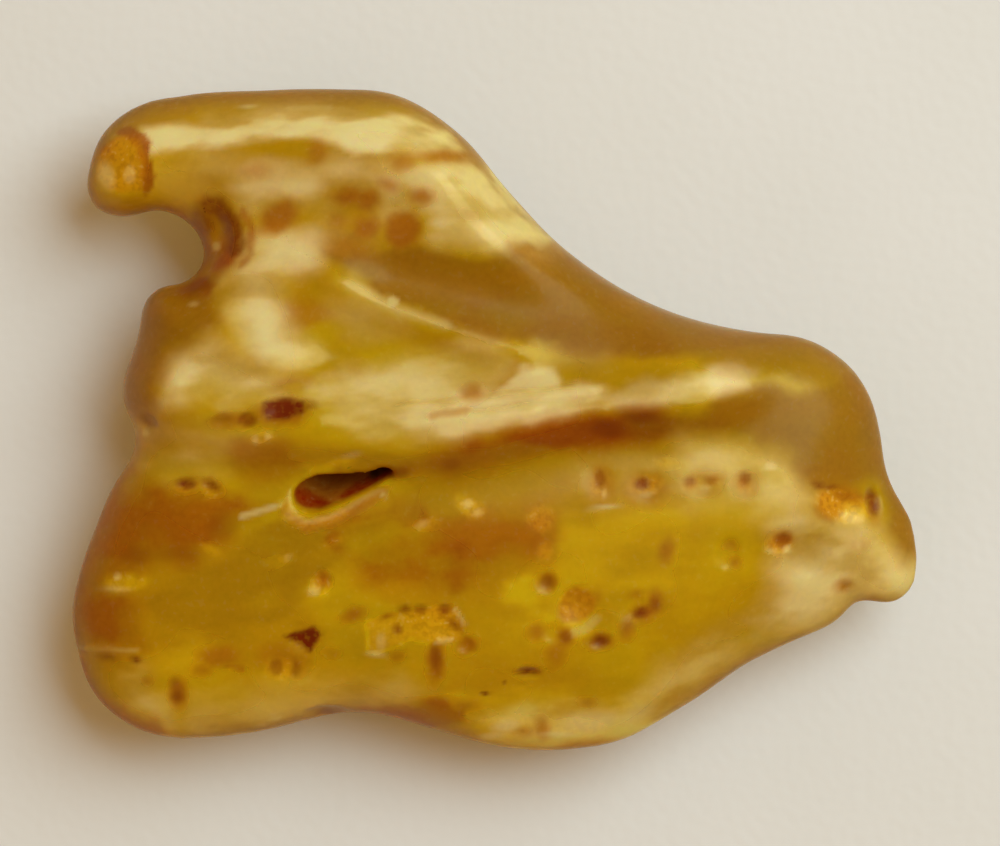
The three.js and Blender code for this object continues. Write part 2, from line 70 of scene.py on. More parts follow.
def tint(red: int, green: int, blue: int) -> Colour:
    """Turns a screen colour into the linear one that a shader takes.

    Args:
        red: Screen red, 0 to 255.
        green: Screen green, 0 to 255.
        blue: Screen blue, 0 to 255.

    Returns:
        Linear red, green and blue, and an alpha of 1.
    """
    screen = (red / 255, green / 255, blue / 255)
    return (*(c / 12.92 if c <= 0.04045 else ((c + 0.055) / 1.055) ** 2.4 for c in screen), 1.0)


def fade(value: np.ndarray, low: float, high: float) -> np.ndarray:
    """Eases from 0 at low to 1 at high.

    Args:
        value: Any numbers.
        low: Where the result is 0.
        high: Where the result is 1; it may be below low.

    Returns:
        The eased share of each number.
    """
    share = np.clip((value - low) / (high - low), 0, 1)
    return share * share * (3 - 2 * share)


def wobble(places: np.ndarray, reach: float, size: float) -> np.ndarray:
    """Shifts places by crossed waves, so that ovals get natural outlines.

    Args:
        places: Points in millimetres, one row each, two columns.
        reach: The largest shift, in millimetres.
        size: The length of the waves, in millimetres.

    Returns:
        The shifted points.
    """
    x, y = places.T * (2 * math.pi / size)
    long = np.sin(y + 0.7), np.sin(1.1 * x + 2.1)
    middle = np.sin(1.9 * y + 1.3 * x), np.sin(2.1 * x - 1.2 * y + 0.4)
    short = np.sin(3.1 * x - 2.3 * y + 2), np.sin(2.7 * y + 2.9 * x)
    return places + reach / 2 * (np.array(long) + 0.6 * np.array(middle) + 0.4 * np.array(short)).T


def beside(places: np.ndarray, start: np.ndarray, end: np.ndarray) -> tuple[np.ndarray, np.ndarray]:
    """Finds where places lie beside a straight line.

    Args:
        places: Points in millimetres, one row each, two columns.
        start: The line's start.
        end: The line's end.

    Returns:
        The share of the way along, from 0 to 1, and the distance from the line.
    """
    way = end - start
    rel = places - start
    along = np.clip(rel @ way / (way @ way), 0, 1)
    return along, np.hypot(*(rel - along[:, None] * way).T)


def clouds(points: np.ndarray, size: float, octaves: int) -> np.ndarray:
    """Cloudy unevenness through the resin, which its colours share.

    Args:
        points: Points in millimetres, three columns.
        size: Size of the largest clouds, in millimetres.
        octaves: How many finer layers are added.

    Returns:
        Numbers from about 0 to 1, one a point.
    """
    values = [noise.fractal(point, 1.0, 2.0, octaves) for point in (points / size).tolist()]
    return np.clip(0.5 + 0.6 * np.array(values), 0, 1)


@dataclass(frozen=True)
class Oval:
    """An oval on the lump, seen from above, in millimetres."""

    x: float
    y: float
    along: float
    across: float
    turn: float = 0.0  # degrees, counter-clockwise
    strength: float = 1.0
    soft: float = 0.0  # width of its edge, or 0 for the usual one of its kind

    def depth(self, places: np.ndarray) -> np.ndarray:
        """How far inside the outline each place lies, in millimetres; below 0 it is outside."""
        turn = math.radians(self.turn)
        dx, dy = places[:, 0] - self.x, places[:, 1] - self.y
        along = dx * math.cos(turn) + dy * math.sin(turn)
        across = dy * math.cos(turn) - dx * math.sin(turn)
        return (1 - np.hypot(along / self.along, across / self.across)) * min(self.along, self.across)


@dataclass(frozen=True)
class Stroke:
    """A line on the lump through given points, seen from above, which thins out at its ends."""

    points: tuple[tuple[float, float], ...]
    width: float  # on either side, in millimetres
    strength: float = 1.0
    soft: float = 0.0

    def depth(self, places: np.ndarray) -> np.ndarray:
        """How far inside the line's edges each place lies, in millimetres; below 0 it is outside."""
        nearest = np.full(len(places), np.inf)
        share = np.zeros(len(places))
        knots = np.array(self.points, dtype=float)
        for i, (start, end) in enumerate(zip(knots[:-1], knots[1:])):
            along, away = beside(places, start, end)
            nearer = away < nearest
            nearest[nearer] = away[nearer]
            share[nearer] = (i + along[nearer]) / (len(knots) - 1)
        ends = fade(share, 0, 0.15) * fade(share, 1, 0.85)
        return self.width * (2 * ends - 1) - nearest


@dataclass(frozen=True)
class Patch:
    """A patch on the lump with a given outline, seen from above, in millimetres."""

    outline: tuple[tuple[float, float], ...]
    strength: float = 1.0
    soft: float = 0.0

    def depth(self, places: np.ndarray) -> np.ndarray:
        """How far inside the outline each place lies, in millimetres; below 0 it is outside."""
        nearest = np.full(len(places), np.inf)
        inside = np.zeros(len(places), dtype=bool)
        knots = np.array(self.outline, dtype=float)
        x, y = places.T
        for start, end in zip(knots, np.roll(knots, -1, axis=0)):
            nearest = np.minimum(nearest, beside(places, start, end)[1])
            way = end - start
            passes = (start[1] > y) != (end[1] > y)
            inside ^= passes & (x < start[0] + (y - start[1]) * way[0] / (way[1] or 1))
        return np.where(inside, nearest, -nearest)


class Side(Enum):
    """The face of the lump that a mark is on."""

    UPPER = "upper"
    UNDER = "under"
    BOTH = "both"


@dataclass(frozen=True)
class Marks:
    """Marks of one kind: where they are, on which face, and how softly they end."""

    name: str
    side: Side
    soft: float  # width of their edges, in millimetres
    shapes: tuple[Oval | Stroke | Patch, ...]
    uneven: float = 0.1  # how far their outlines wander, in millimetres
    grain: float = 3.0  # the length of that wandering
    torn: float = 0.0  # how far the resin's clouds pull their edges in and out, in millimetres
    below: float = 99.0  # they end above this height, in millimetres
    above: float = -99.0  # and under this one

    def weigh(self, points: np.ndarray, normals: np.ndarray, pull: np.ndarray | float = 0.0) -> np.ndarray:
        """Weighs every vertex by the strongest mark over it.

        Args:
            points: Vertex places in millimetres, three columns.
            normals: Vertex normals.
            pull: What the clouds do to the edges at every vertex, from -1 to 1.

        Returns:
            One weight from 0 to 1 a vertex.
        """
        places = wobble(points[:, :2], self.uneven, self.grain)
        weight = np.zeros(len(points))
        for shape in self.shapes:
            edge = (shape.soft or self.soft) / 2
            inside = fade(shape.depth(places) + self.torn * pull, -edge, edge)
            weight = np.maximum(weight, shape.strength * inside)
        if self.side is not Side.BOTH:
            facing = normals[:, 2] if self.side is Side.UPPER else -normals[:, 2]
            weight *= fade(facing, *FACING)
        heights = points[:, 2]
        weight *= fade(self.below - heights, -HEIGHT_EDGE, HEIGHT_EDGE)
        return weight * fade(heights - self.above, -HEIGHT_EDGE, HEIGHT_EDGE)


# Relief that the solid leaves out, and the rough floors of the pits that it has

FINE_PITS = Marks("fine_pits", Side.UPPER, 0.5, (
    Oval(-24.3, -0.1, 0.6, 0.4, -20), Oval(-21.5, -4.4, 0.6, 0.35), Oval(-19.8, -4.6, 0.6, 0.35, -30),
    Oval(3.6, -11.3, 0.6, 0.6), Oval(4, -14.8, 0.6, 0.6, 0, 0.6), Oval(20, -8.4, 0.6, 0.6),
    Oval(16.2, -9.2, 0.8, 1.1, 0, 0.5), Oval(7.3, -15.4, 0.6, 0.4), Oval(-4.2, -16.8, 0.4, 1.1, 0, 0.7),
    Oval(-2, -15.7, 0.5, 0.5), Oval(2.3, -17.6, 0.7, 0.3), Oval(26.6, -5.8, 0.5, 0.9, 10),
    Oval(24.6, -11.7, 0.5, 0.4, 0, 0.7), Oval(-12, -11.2, 0.6, 0.5, 0, 0.6),
    Oval(-22.3, -19.2, 0.5, 0.7, 0, 0.6), Oval(-11.8, -20.6, 1.2, 0.4),
    Oval(-25.9, -11.1, 1.2, 0.5, 5, 0.5), Oval(22, -9.4, 1.7, 1.4, 0, 0.4),
), uneven=0.05, grain=1.6)

HOOK_BREAK = (
    (-27.7, 18.9), (-26.2, 20.1), (-24.8, 19.5), (-24.3, 18.2), (-24.6, 16.2), (-25.6, 15.9), (-27, 16.1),
    (-28, 17.3),
)
LOBE_BREAK = (
    (-9, -14), (-7.4, -13.4), (-4.4, -13), (-3, -12.9), (-2.1, -14.3), (-2.6, -15.2), (-4.2, -15.5),
    (-6, -15.3), (-8, -16.3), (-8.9, -16.2),
)

RUBBLE = Marks("rubble", Side.UPPER, 0.5, (
    Patch(HOOK_BREAK, 0.8), Oval(-19.4, 13.2, 0.9, 1.7, 15, 0.3), Oval(-14.9, 0.7, 1.2, 0.6, 5, 0.5),
    Oval(-17.2, -0.2, 0.7, 0.5, 0, 0.5), Oval(-16.2, -1.2, 0.8, 0.4, 0, 0.6),
    Oval(-13.1, -15.1, 0.9, 0.7, -25, 0.4), Oval(-15, -17.3, 1, 0.8, 0, 0.6), Patch(LOBE_BREAK, 0.8),
    Oval(5.7, -12.8, 1.3, 1.1, 35, 0.7), Oval(10.3, -13, 1.2, 0.9, 20, 0.4),
    Oval(7.3, -4.4, 0.6, 1, 0, 0.7), Oval(10.5, -4.5, 1.1, 0.6, 5, 0.7),
    Oval(13.7, -4.4, 0.7, 0.5, 0, 0.7), Oval(15.1, -4.3, 0.6, 0.5, 0, 0.6),
    Oval(17.3, -4.4, 0.6, 0.7, 0, 0.6), Oval(24.4, -6, 2, 1.1, -18, 0.9), Oval(26.6, -6, 0.5, 1, 10, 0.6),
    Oval(19.8, -8.7, 0.9, 0.6, 0, 0.7), Oval(-21.5, -4.6, 0.7, 0.4, 0, 0.5),
    Oval(-19.7, -4.8, 0.7, 0.4, -25, 0.5), Oval(-25.9, -11.3, 1.7, 0.6, 5, 0.9),
    Stroke(((-14.5, -5), (-14.4, -6.6), (-13, -7.3), (-11.4, -6.9), (-9.6, -6)), 0.3, 0.5),
    Oval(-12.2, -11.5, 0.8, 0.7, 20, 0.6), Oval(-11.2, -8.4, 0.8, 0.3, 15, 0.4),
    Oval(-14.9, -9.7, 0.9, 0.4, 15, 0.5), Oval(-19.7, -9, 0.6, 0.3, -30, 0.6),
    Oval(-1.7, -6, 1.1, 0.6, -30, 0.7), Oval(-4.8, -7.2, 0.9, 0.4, 10, 0.5),
    Oval(3.2, -6.8, 1, 0.9, 0, 0.6), Oval(3.5, -9.1, 0.5, 0.6, 0, 0.7), Oval(0.8, -21.6, 2.4, 0.8, 4, 0.4),
    Oval(5.6, -21.6, 2.2, 0.7, 0, 0.3), Oval(12, -3, 0.8, 0.3, -10, 0.6),
    Oval(-11.4, -3.2, 1.4, 0.3, 18, 0.6),
), uneven=0.08, grain=1.8)

UNDER_RUBBLE = Marks("under_rubble", Side.UNDER, 0.6, (
    Oval(-17, 17, 1.7, 1.3, 12), Oval(-20, -9, 2.2, 1.4, -22), Oval(-23, -16, 1.3, 1.1),
    Oval(15, 1.5, 2, 1.2, 28), Oval(19, -11, 1.4, 1.5), Oval(5, 9, 1.4, 1.1, -34), Oval(6, -19, 1.6, 1, 6),
    Oval(-4, 15, 2.2, 0.8, 30, 0.5), Oval(23, -3, 1.5, 0.7, 60, 0.5),
), uneven=0.08, grain=1.9)

FLOW_LINES = Marks("flow_lines", Side.UPPER, 0.5, (
    Stroke(((-8.5, 0.8), (-4, 1), (0.7, 1.6), (5, 2), (8.5, 2.4)), 0.3),
    Stroke(((-8.2, -0.2), (-4, 0), (0.5, 0.6), (4.5, 1.3)), 0.3, 0.7),
    Stroke(((-29.4, -16), (-26.8, -16), (-24.4, -16.1)), 0.25),
    Stroke(((-18, -6.8), (-16.2, -6.3), (-14.6, -5.8)), 0.22, 0.8),
), uneven=0.08, grain=4)

# The walls of the cavity under the lip, the red of its corners, and painted shade, near black, deep inside
# it

CAVITY = Marks("cavity", Side.BOTH, 0.4, (
    Oval(-10.4, -4.2, 5.6, 3.2, 20),
), below=12, above=4)

CAVITY_RED = Marks("cavity_red", Side.BOTH, 0.35, (
    Patch(((-14.3, -4.6), (-13.6, -4.6), (-11.4, -5.7), (-11.8, -6.3), (-14.3, -5.7))),
    Stroke(((-10.9, -5.9), (-9.7, -4.8), (-8.4, -3.9), (-7.2, -3.5)), 0.4, 0.9),
), below=12, above=4)

# Painted shade: a near-black spot where the cavity is deepest.
CAVITY_SHADE = Marks("cavity_depth", Side.BOTH, 0.4, (
    Oval(-8, -3.5, 0.9, 0.6, 20),
), below=11.4, above=4)

# Colours of the resin, with painted reflection, glow, shade and highlights among them

# Cream: milky clouds in the resin, and painted reflection of the broad key light where faces tilt towards
# it, as on the arm's crest band, the shoulder and the wall rising to the lip.
CLOUD_AND_REFLECTION = Marks("cloud", Side.UPPER, 3.2, (
    Patch((
        (-24.2, 18.8), (-20, 19.2), (-16, 19.5), (-12.5, 19.7), (-9, 19), (-5, 18.8), (-2.6, 18.9),
        (-3.4, 20.3), (-5.6, 21.2), (-8, 21.4), (-12, 21.2), (-16, 20.9), (-20, 20.5), (-24.2, 20.1),
    ), 1, 1.33),
    Patch((
        (-18.6, 16.6), (-16.8, 17.4), (-11, 17.6), (-6, 17.2), (-5.4, 15.8), (-6, 14.6), (-7.6, 14.4),
        (-8.2, 16.2), (-11.4, 16.4), (-12.4, 15), (-14.6, 15.6), (-16.2, 14.6), (-17.2, 14.8),
    ), 0.8),
    Patch((
        (-17.2, 12.6), (-14.6, 12.9), (-12.6, 13), (-12, 11.6), (-12.4, 10.4), (-14.8, 10.2), (-15, 8),
        (-14.6, 6.2), (-13, 5), (-16.4, 3.6), (-17, 6), (-18.6, 8.6), (-18, 10.6),
    ), 0.9),
    Patch((
        (-6.6, 17.2), (-4, 17.6), (-1.6, 17.8), (0.6, 17), (2.4, 14.8), (4.6, 12.4), (4, 11.4),
        (0.5, 11.2), (-4, 11.6), (-5, 12.4), (-4.4, 14.2), (-5.8, 15.4),
    ), 0.85, 1.6),
    Patch((
        (-22.8, 3), (-21.8, 4.8), (-19.8, 5.6), (-18.4, 4.4), (-16.6, 3.6), (-15.4, 2.3), (-16.8, 1.6),
        (-18.4, 1.4), (-19.6, 2.2), (-21.8, 1.2), (-23.2, 1.2),
    ), 0.95),
    Oval(-18.3, 2.7, 2.2, 0.9, -10), Oval(-19.8, 3.9, 1.2, 1), Oval(-22, -2.6, 1.9, 0.8, 0, 0.5),
    Oval(-21.4, -1.2, 2.4, 0.8, 0, 0.35), Oval(-23.4, -1, 1.3, 0.5, -20, 0.5),
    Patch((
        (-4, 2.6), (-2.2, 2.2), (-0.6, 1.6), (2, 3.4), (3.8, 3.4), (4.6, 2.4), (8, 2.4), (9.6, 3.2),
        (13, 3.6), (18.4, 4.1), (19, 3.5), (17.2, 2.5), (15, 1.7), (12.2, 0.7), (7.4, 1), (4, 0.3),
        (1, -0.2), (-1.4, -0.8), (-2.8, -1.3), (-5.2, -1),
    ), 0.8, 0.9),
    Patch((
        (-12.6, 2), (-9, 3.2), (-6, 4.2), (-2, 4.4), (-0.6, 2.6), (0.6, 0.6), (-2.8, -1.2), (-5.2, -1.2),
        (-8.6, -1.2), (-10.6, 0),
    ), 0.8, 2.4),
    Oval(-1, 3.6, 2, 2, 0, 0.35, 1.6), Stroke(((9, 2.3), (12, 2.3), (15, 2.8), (18.9, 3.8)), 0.9, 1, 1.2),
    Patch((
        (12.8, -0.9), (15, -1.1), (18, -2.3), (20.2, -3.2), (21.2, -4.6), (22, -5.6), (21, -6.4),
        (17, -5.6), (14, -5.4), (12, -4.6), (13.4, -2.6),
    ), 0.5, 3.2),
    Patch((
        (20.6, -6), (22.6, -7.2), (24.4, -7.9), (27, -7.6), (27.8, -8.8), (29.4, -10), (30.2, -11.2),
        (29.2, -12.9), (25.4, -13.4), (22, -14.8), (18.6, -14.8), (19.6, -12.4), (20.2, -10.4),
        (22.4, -9.4), (22, -8), (20, -7.2),
    ), 0.8, 4.4),
    Oval(19, -3.4, 0.5, 0.4, 0, 0.8, 0.76),
    Patch((
        (-25.8, -18.2), (-24.8, -17.9), (-23.8, -19.4), (-23.2, -20.8), (-24.6, -20.6), (-25.8, -19.6),
    ), 0.6),
    Stroke(((-23, -21.4), (-19, -20.9), (-14, -20.6), (-9, -19.6), (-4, -18.8)), 1.2, 0.3),
    Stroke(((-19.5, -21.9), (-16, -21.5), (-12.8, -21)), 0.3, 0.6, 0.4),
    Oval(12.5, -18.2, 3.6, 0.8, 33, 0.5), Oval(-11.6, 15, 1, 2, 0, 0.3),
    Stroke(((-22, 20.4), (-14, 21.2), (-6, 21)), 0.9, 0.4, 2), Oval(4.8, -21.2, 6.5, 1.3, 4, 0.45, 1.4),
    Oval(-20, 17.4, 2.4, 1.3, 0, 0.3), Oval(-9, 8, 2.4, 1.6, -20, 0.3), Oval(6, -4.6, 5, 1.2, 4, 0.12),
), uneven=0.16, grain=5, torn=0.7)

# Lemon-yellow resin, brightened as a painted glow of light through the lump: on the lower lobe, along the
# bottom edge and in thin places.
PAINTED_GLOW = Marks("glow", Side.UPPER, 2.6, (
    Oval(-22.6, 17, 2, 1.5, 0, 0.6),
    Patch(((0.6, -11.2), (2.4, -10.8), (2.9, -12), (3.9, -13.8), (2, -13.7), (0.8, -12.6)), 1, 1.26),
    Patch(((4.1, -6.2), (8, -6.6), (13, -6.2), (14, -9), (12, -12), (9, -15), (4.2, -11)), 0.6, 1.62),
    Stroke(((4.6, -14.9), (6.3, -14.5), (7.7, -13.2)), 0.6, 1, 0.6), Oval(8.4, -12, 1, 1.9, 0, 0.9),
    Oval(4.6, -12.6, 3.6, 2.6, 0, 0.5), Oval(-10.6, -2.7, 2, 0.6, 16, 1, 1.08),
    Oval(3.6, -20.9, 8, 1.9, 2, 1), Oval(-24.6, -19.4, 1.8, 2, 40, 0.6), Oval(-8, -18.6, 6, 1.4, 4, 0.4),
    Oval(-12.2, -1.5, 1.6, 0.6, -30, 0.4), Oval(-10.2, -11.2, 0.8, 1.4, 0, 0.5),
    Oval(-7.5, -12, 3, 0.5, 4, 0.4), Oval(-22.4, -17, 2, 0.8, 0, 0.6), Oval(-15, -19.4, 6, 1.2, 3, 0.5),
    Oval(-19, -21, 4, 0.8, 3, 0.5), Oval(0.5, -21.6, 3, 1.2, 0, 0.8), Oval(7.6, -21, 4, 1.4, 12, 0.5),
    Oval(13.2, -17.8, 2.6, 0.9, 33, 0.4), Oval(-18, 7, 0.7, 2.4, 8, 0.6),
    Oval(-14.2, 4.6, 1.6, 0.8, 0, 0.4), Oval(-0.5, 4.6, 1.4, 0.9, 0, 0.4),
    Oval(16.6, -6.2, 4.4, 0.9, 3, 0.4), Oval(19, -5, 2, 1.4, 0, 0.3), Oval(-3, -19.2, 4, 0.8, 4, 0.3),
    Oval(-7, 5.4, 3, 0.9, -16, 0.3), Oval(15, -11, 3, 2.4, 10, 0.3),
), uneven=0.2, grain=5, torn=1)

OLIVE = Marks("olive", Side.UPPER, 3, (
    Patch((
        (-17.4, -7), (-14.6, -6.4), (-14.2, -7.2), (-12.2, -7.6), (-9.6, -8), (-10.5, -10.2),
        (-13.4, -11.4), (-14, -13.4), (-18, -14.6), (-23.6, -14.8), (-24.4, -12.4), (-22.8, -10.6),
        (-20.4, -10), (-18.2, -9),
    ), 0.9, 1.6),
    Patch((
        (-6, -4), (-2, -3.6), (4, -2.6), (9, -1.6), (12.5, -1), (12.4, -3.4), (6, -3.4), (2.6, -4.8),
        (-2.2, -5.4), (-3, -6.8), (-6.8, -6.4),
    ), 0.7),
    Oval(-9, 6.6, 2.6, 1.4, -20, 0.5), Oval(-3.4, 5.9, 2.8, 0.8, -14, 0.6),
    Oval(-11.2, 4.2, 1.3, 0.9, -20, 0.5), Oval(6.4, 3.4, 1.7, 1.4, 0, 0.7),
    Oval(-19.4, 17.4, 1.4, 1.2, 0, 0.5),
    Stroke(((-24, 18.4), (-18, 18.7), (-12, 18.6), (-7, 18)), 0.7, 0.6), Oval(5, -19.6, 3.6, 1, 4, 0.6),
    Oval(16, -14.8, 4.8, 1.2, 28, 0.4), Oval(18.5, -8, 1.9, 0.6, 6, 0.7),
    Oval(21.2, -7.6, 0.8, 0.5, 0, 0.7, 0.8), Oval(21.9, -9.4, 1.7, 1.4, 10, 0.5, 0.64),
    Oval(-21.5, 0.1, 1.4, 0.35, 3, 0.8, 0.8), Oval(8, 8, 3, 1, -20, 0.5),
    Stroke(((23.4, -8.3), (23.5, -9.4), (22.9, -10.3), (21.9, -10.9), (21.2, -11.3)), 0.15, 0.9, 0.25),
    Stroke(((1, 1.1), (4, 1.5), (7, 1.7)), 0.15, 0.5, 0.3),
    Stroke(((-8, 0.2), (-5.8, 0.2)), 0.2, 0.6, 0.3),
), uneven=0.15, grain=5, torn=1.2)

HONEY = Marks("honey", Side.UPPER, 2.8, (
    Patch((
        (-8.8, -7.6), (-4, -7.2), (0, -6.8), (3.6, -6.2), (3.9, -9.6), (1, -10.2), (-1.6, -11.4),
        (-4, -12.2), (-9.6, -11.6), (-10.6, -9.6),
    ), 1),
    Oval(2.6, -6.2, 1.6, 0.8, 0, 0.6), Oval(-13.2, 8.2, 1.3, 2, 0, 0.7, 1.44),
    Oval(0.6, 2.5, 1, 1, 0, 0.6), Oval(-0.8, 4, 1, 1.8, 0, 0.4), Oval(-15, 2.4, 0.8, 0.3, 5, 0.8, 0.72),
    Oval(-9.8, 15, 1.8, 1.4, 0, 0.7),
), uneven=0.15, grain=4, torn=1)

# Deep amber, and painted shade on faces turned from the key light: the valley above the keel, the arm's
# top rim, the right hump and the flank under the bay.
DEEP_AND_SHADE = Marks("deep", Side.UPPER, 1.8, (
    Patch((
        (-11.6, 11.6), (-8, 12), (-5.2, 12.4), (-2, 11.6), (3, 12.2), (4.4, 12.8), (8.4, 10), (14, 7.6),
        (20, 6.6), (22, 5.8), (16, 4.4), (12, 4.4), (8.8, 4.6), (5, 5), (0, 5.9), (-3, 6.6), (-5.6, 7.5),
        (-8.5, 9), (-10.6, 10.2),
    ), 0.9, 1.2),
    Patch((
        (9, 0.5), (12, 0.4), (15, 1.2), (17.2, 2), (19, 3), (21, 2.2), (24, 3.2), (25.6, 4.4), (27, 2.6),
        (27.6, 0), (28.2, -3.4), (29.2, -5), (30.2, -7.8), (30.2, -9.4), (28.9, -9.6), (27.6, -8),
        (27.2, -6.6), (26.8, -4.8), (24, -4.4), (22.2, -4.4), (21, -3.6), (20, -2.6), (17.4, -1.7),
        (13, -0.8), (10, -1),
    ), 0.9, 2),
    Stroke(((13, 6.2), (17, 5), (21, 4.2), (26, 2.6)), 1.8, 0.7),
    Patch((
        (-25.2, 9.2), (-23, 9.6), (-19.4, 8.6), (-19.4, 6.8), (-21, 5), (-22.8, 4.6), (-23.4, 2.6),
        (-23.8, 0.4), (-26.5, 0.4), (-26.9, 2.6), (-25.4, 5.6),
    ), 0.8),
    Stroke(((-28.6, 19.6), (-26, 21.8), (-22, 22.8), (-16, 23.3), (-10, 23.1), (-4.6, 21.8)), 0.9, 0.7),
    Oval(-27.9, 19.3, 0.6, 0.7, 0, 0.6), Oval(-8.6, 12, 2.6, 0.8, -10, 0.5),
), uneven=0.15, grain=4, torn=0.6)

# Red-brown resin, and painted shade on the lip's steep face and on the left, lower and right rims, which
# are turned from the key light; the bay's crescent is red-brown too.
RED_BROWN_AND_SHADE = Marks("rust", Side.UPPER, 1.6, (
    Patch((
        (-25.4, -3.6), (-24, -3.8), (-22.8, -5), (-20, -5.4), (-17.6, -5), (-15.4, -5.6), (-17.6, -7.6),
        (-18.4, -8.6), (-20.4, -9), (-20.8, -10), (-24.4, -10.2), (-26.4, -10.8), (-26.6, -12),
        (-24.8, -12.6), (-24.6, -14.4), (-24.4, -15.8), (-30.2, -15.9), (-30.2, -13), (-29.4, -9.5),
        (-27.8, -6),
    ), 0.8, 2),
    Patch((
        (-18.6, -3), (-17.8, -1.4), (-14.4, -1.6), (-13.4, -2.8), (-13.4, -3.8), (-14.8, -5),
        (-17.4, -5.4),
    ), 0.5, 1.8),
    Stroke((
        (-7.4, -3.4), (-3, -3), (0.2, -2), (3, -1.4), (5.4, -0.9), (8, -0.5), (11, -0.1), (14.6, 0.2),
    ), 1.2, 1, 2),
    Patch(((-23, 9.2), (-20.8, 10.1), (-19.6, 9.4), (-19.8, 8.6), (-21.4, 8.6)), 0.9, 0.75),
    Oval(-25, 3.9, 0.4, 0.6, 0, 0.6),
    Stroke(((-12.4, -8.6), (-9.4, -7.4), (-6.6, -6.6), (-4, -6)), 0.9, 0.7),
    Stroke(((-2.2, -8), (-2.8, -10.4), (-2.5, -12.4)), 0.6, 0.6),
    Stroke(((3.9, -6.2), (4, -8.8)), 0.4, 0.5),
    Stroke(((-29.6, -16.3), (-28.4, -19.2), (-26, -21.4), (-22.6, -22.4)), 0.8, 0.7),
    Patch((
        (-13, -20.9), (-12, -20.2), (-7.8, -20.1), (-4, -19.7), (-2, -20.3), (-2, -21.4), (-5, -22),
        (-9, -21.6),
    ), 0.9, 0.6),
    Oval(-1.6, 7.4, 1, 0.8, 0, 0.6), Stroke(((0.2, 9), (1.6, 7.8)), 0.4, 0.5),
    Oval(8.4, 5.1, 1, 0.6, 0, 0.7),
    Patch(((2, 6.4), (4, 7.2), (7.6, 7), (12, 6), (12, 4.9), (7.5, 4.8), (3.6, 5)), 0.6, 1.2),
    Stroke(((25.4, 4.2), (26.4, 1.4), (26.9, -1.2)), 0.8, 0.4),
    Stroke(((-27, 20.2), (-25.6, 20.2), (-24.5, 19.2), (-24.2, 17.8), (-24.5, 15)), 0.28, 0.9, 0.3),
    Stroke(((-24.2, 15), (-22, 14.3), (-20.9, 12.6), (-20.6, 11), (-21.8, 9.7)), 0.4, 0.9, 0.5),
    Oval(-19.5, 12.9, 1.8, 2.4, 15, 1, 1.2),
    Stroke(((-18, 15.4), (-17, 13.4), (-17, 11.6), (-18.2, 10.2)), 0.3, 0.7, 0.5),
    Oval(-24.2, -8.7, 1.2, 0.8, 0, 0.9),
), uneven=0.12, grain=3, torn=0.35)

# Painted highlights: glints of the key light on the arm's crest, along the keel, on the bottom edge, on
# the cavity's rim, seams and ledges, and beside pits and crumbs.
PAINTED_HIGHLIGHTS = Marks("shine", Side.UPPER, 0.3, (
    Oval(-17.3, 22, 0.5, 0.13, 0, 0.9), Stroke(((-15, 21.8), (-11, 21.9)), 0.2, 0.3),
    Stroke(((-11.4, 10), (-8.8, 8.8), (-6.6, 7.6), (-4.2, 6.9), (-2.4, 6.3)), 0.3, 0.5, 0.6),
    Oval(-7.1, 8.2, 0.42, 0.4), Oval(7.6, -6, 0.9, 0.14, 5),
    Stroke(((-18, -6.8), (-16.6, -6.4), (-14.7, -5.8)), 0.2, 0.9),
    Stroke((
        (-14.2, -5.4), (-14.3, -6.6), (-13, -7.1), (-11.5, -6.7), (-10, -6), (-8.6, -5.1), (-6.4, -4.5),
    ), 0.14, 0.3),
    Oval(-9.9, -2.4, 0.6, 0.2, 10, 0.5), Oval(-24.5, -0.9, 0.3, 0.25, -20, 0.8),
    Oval(-7.8, -5.1, 0.3, 0.12, -50, 0.7), Stroke(((5, -14.9), (6.3, -14.5), (7.4, -13.4)), 0.3, 0.35),
    Oval(0.7, -21.5, 0.9, 0.4, 8, 0.9, 0.5), Oval(-0.2, -22.2, 0.8, 0.25, 8, 0.7),
    Oval(6.6, -21.2, 1.8, 0.7, 8, 0.8, 0.9), Oval(4.6, -22.1, 1.2, 0.2, -2, 0.9),
    Oval(10, -20.6, 1.3, 0.5, 28, 0.6, 0.8), Stroke(((-29.8, -16), (-27, -16), (-24.4, -16.1)), 0.14, 0.4),
    Oval(-27.3, 17.1, 0.6, 1, 20, 0.6, 0.6), Oval(-25.5, 17.2, 0.4, 0.6, 0, 0.4),
    Oval(-19.5, 12.2, 0.3, 0.3, 0, 0.6), Oval(-1.9, -5.8, 0.35, 0.3, 0, 0.5),
    Oval(-1.2, -6.4, 0.3, 0.25, 0, 0.4), Oval(-5, -7.2, 0.4, 0.2, 20, 0.3),
    Oval(19.1, -9.1, 0.35, 0.15, -20, 0.6), Oval(20.4, -9, 0.3, 0.25, 30, 0.6),
    Oval(25, -6.8, 0.9, 0.35, -10, 0.5), Oval(-12.6, -11.9, 0.4, 0.3, 0, 0.5),
    Oval(-26.4, -10.9, 0.25, 0.2, 0, 0.8), Oval(-26.6, -11.8, 1, 0.2, 0, 0.4),
    Oval(-8.3, -16.3, 0.6, 0.2, -5, 0.7), Oval(-7.9, -15.4, 0.35, 0.6, 0, 0.3),
    Oval(-16.6, -1.4, 0.2, 0.3, 0, 0.6), Oval(-15.7, -1.1, 0.2, 0.2, 0, 0.6),
    Oval(-14.4, -9.5, 0.2, 0.12, 0, 0.5), Oval(7.6, -5.1, 0.15, 0.3, 0, 0.6),
    Oval(14.6, -4.7, 0.3, 0.2, 0, 0.4), Oval(10.6, -5.1, 0.5, 0.15, 15, 0.4),
    Oval(-21, 8.1, 0.3, 0.15, 0, 0.5), Stroke(((-2.9, -12.9), (-2, -14.4)), 0.12, 0.6),
    Stroke(((-4.4, -15.5), (-2.8, -15.2)), 0.14, 0.5),
), uneven=0.04, grain=4)
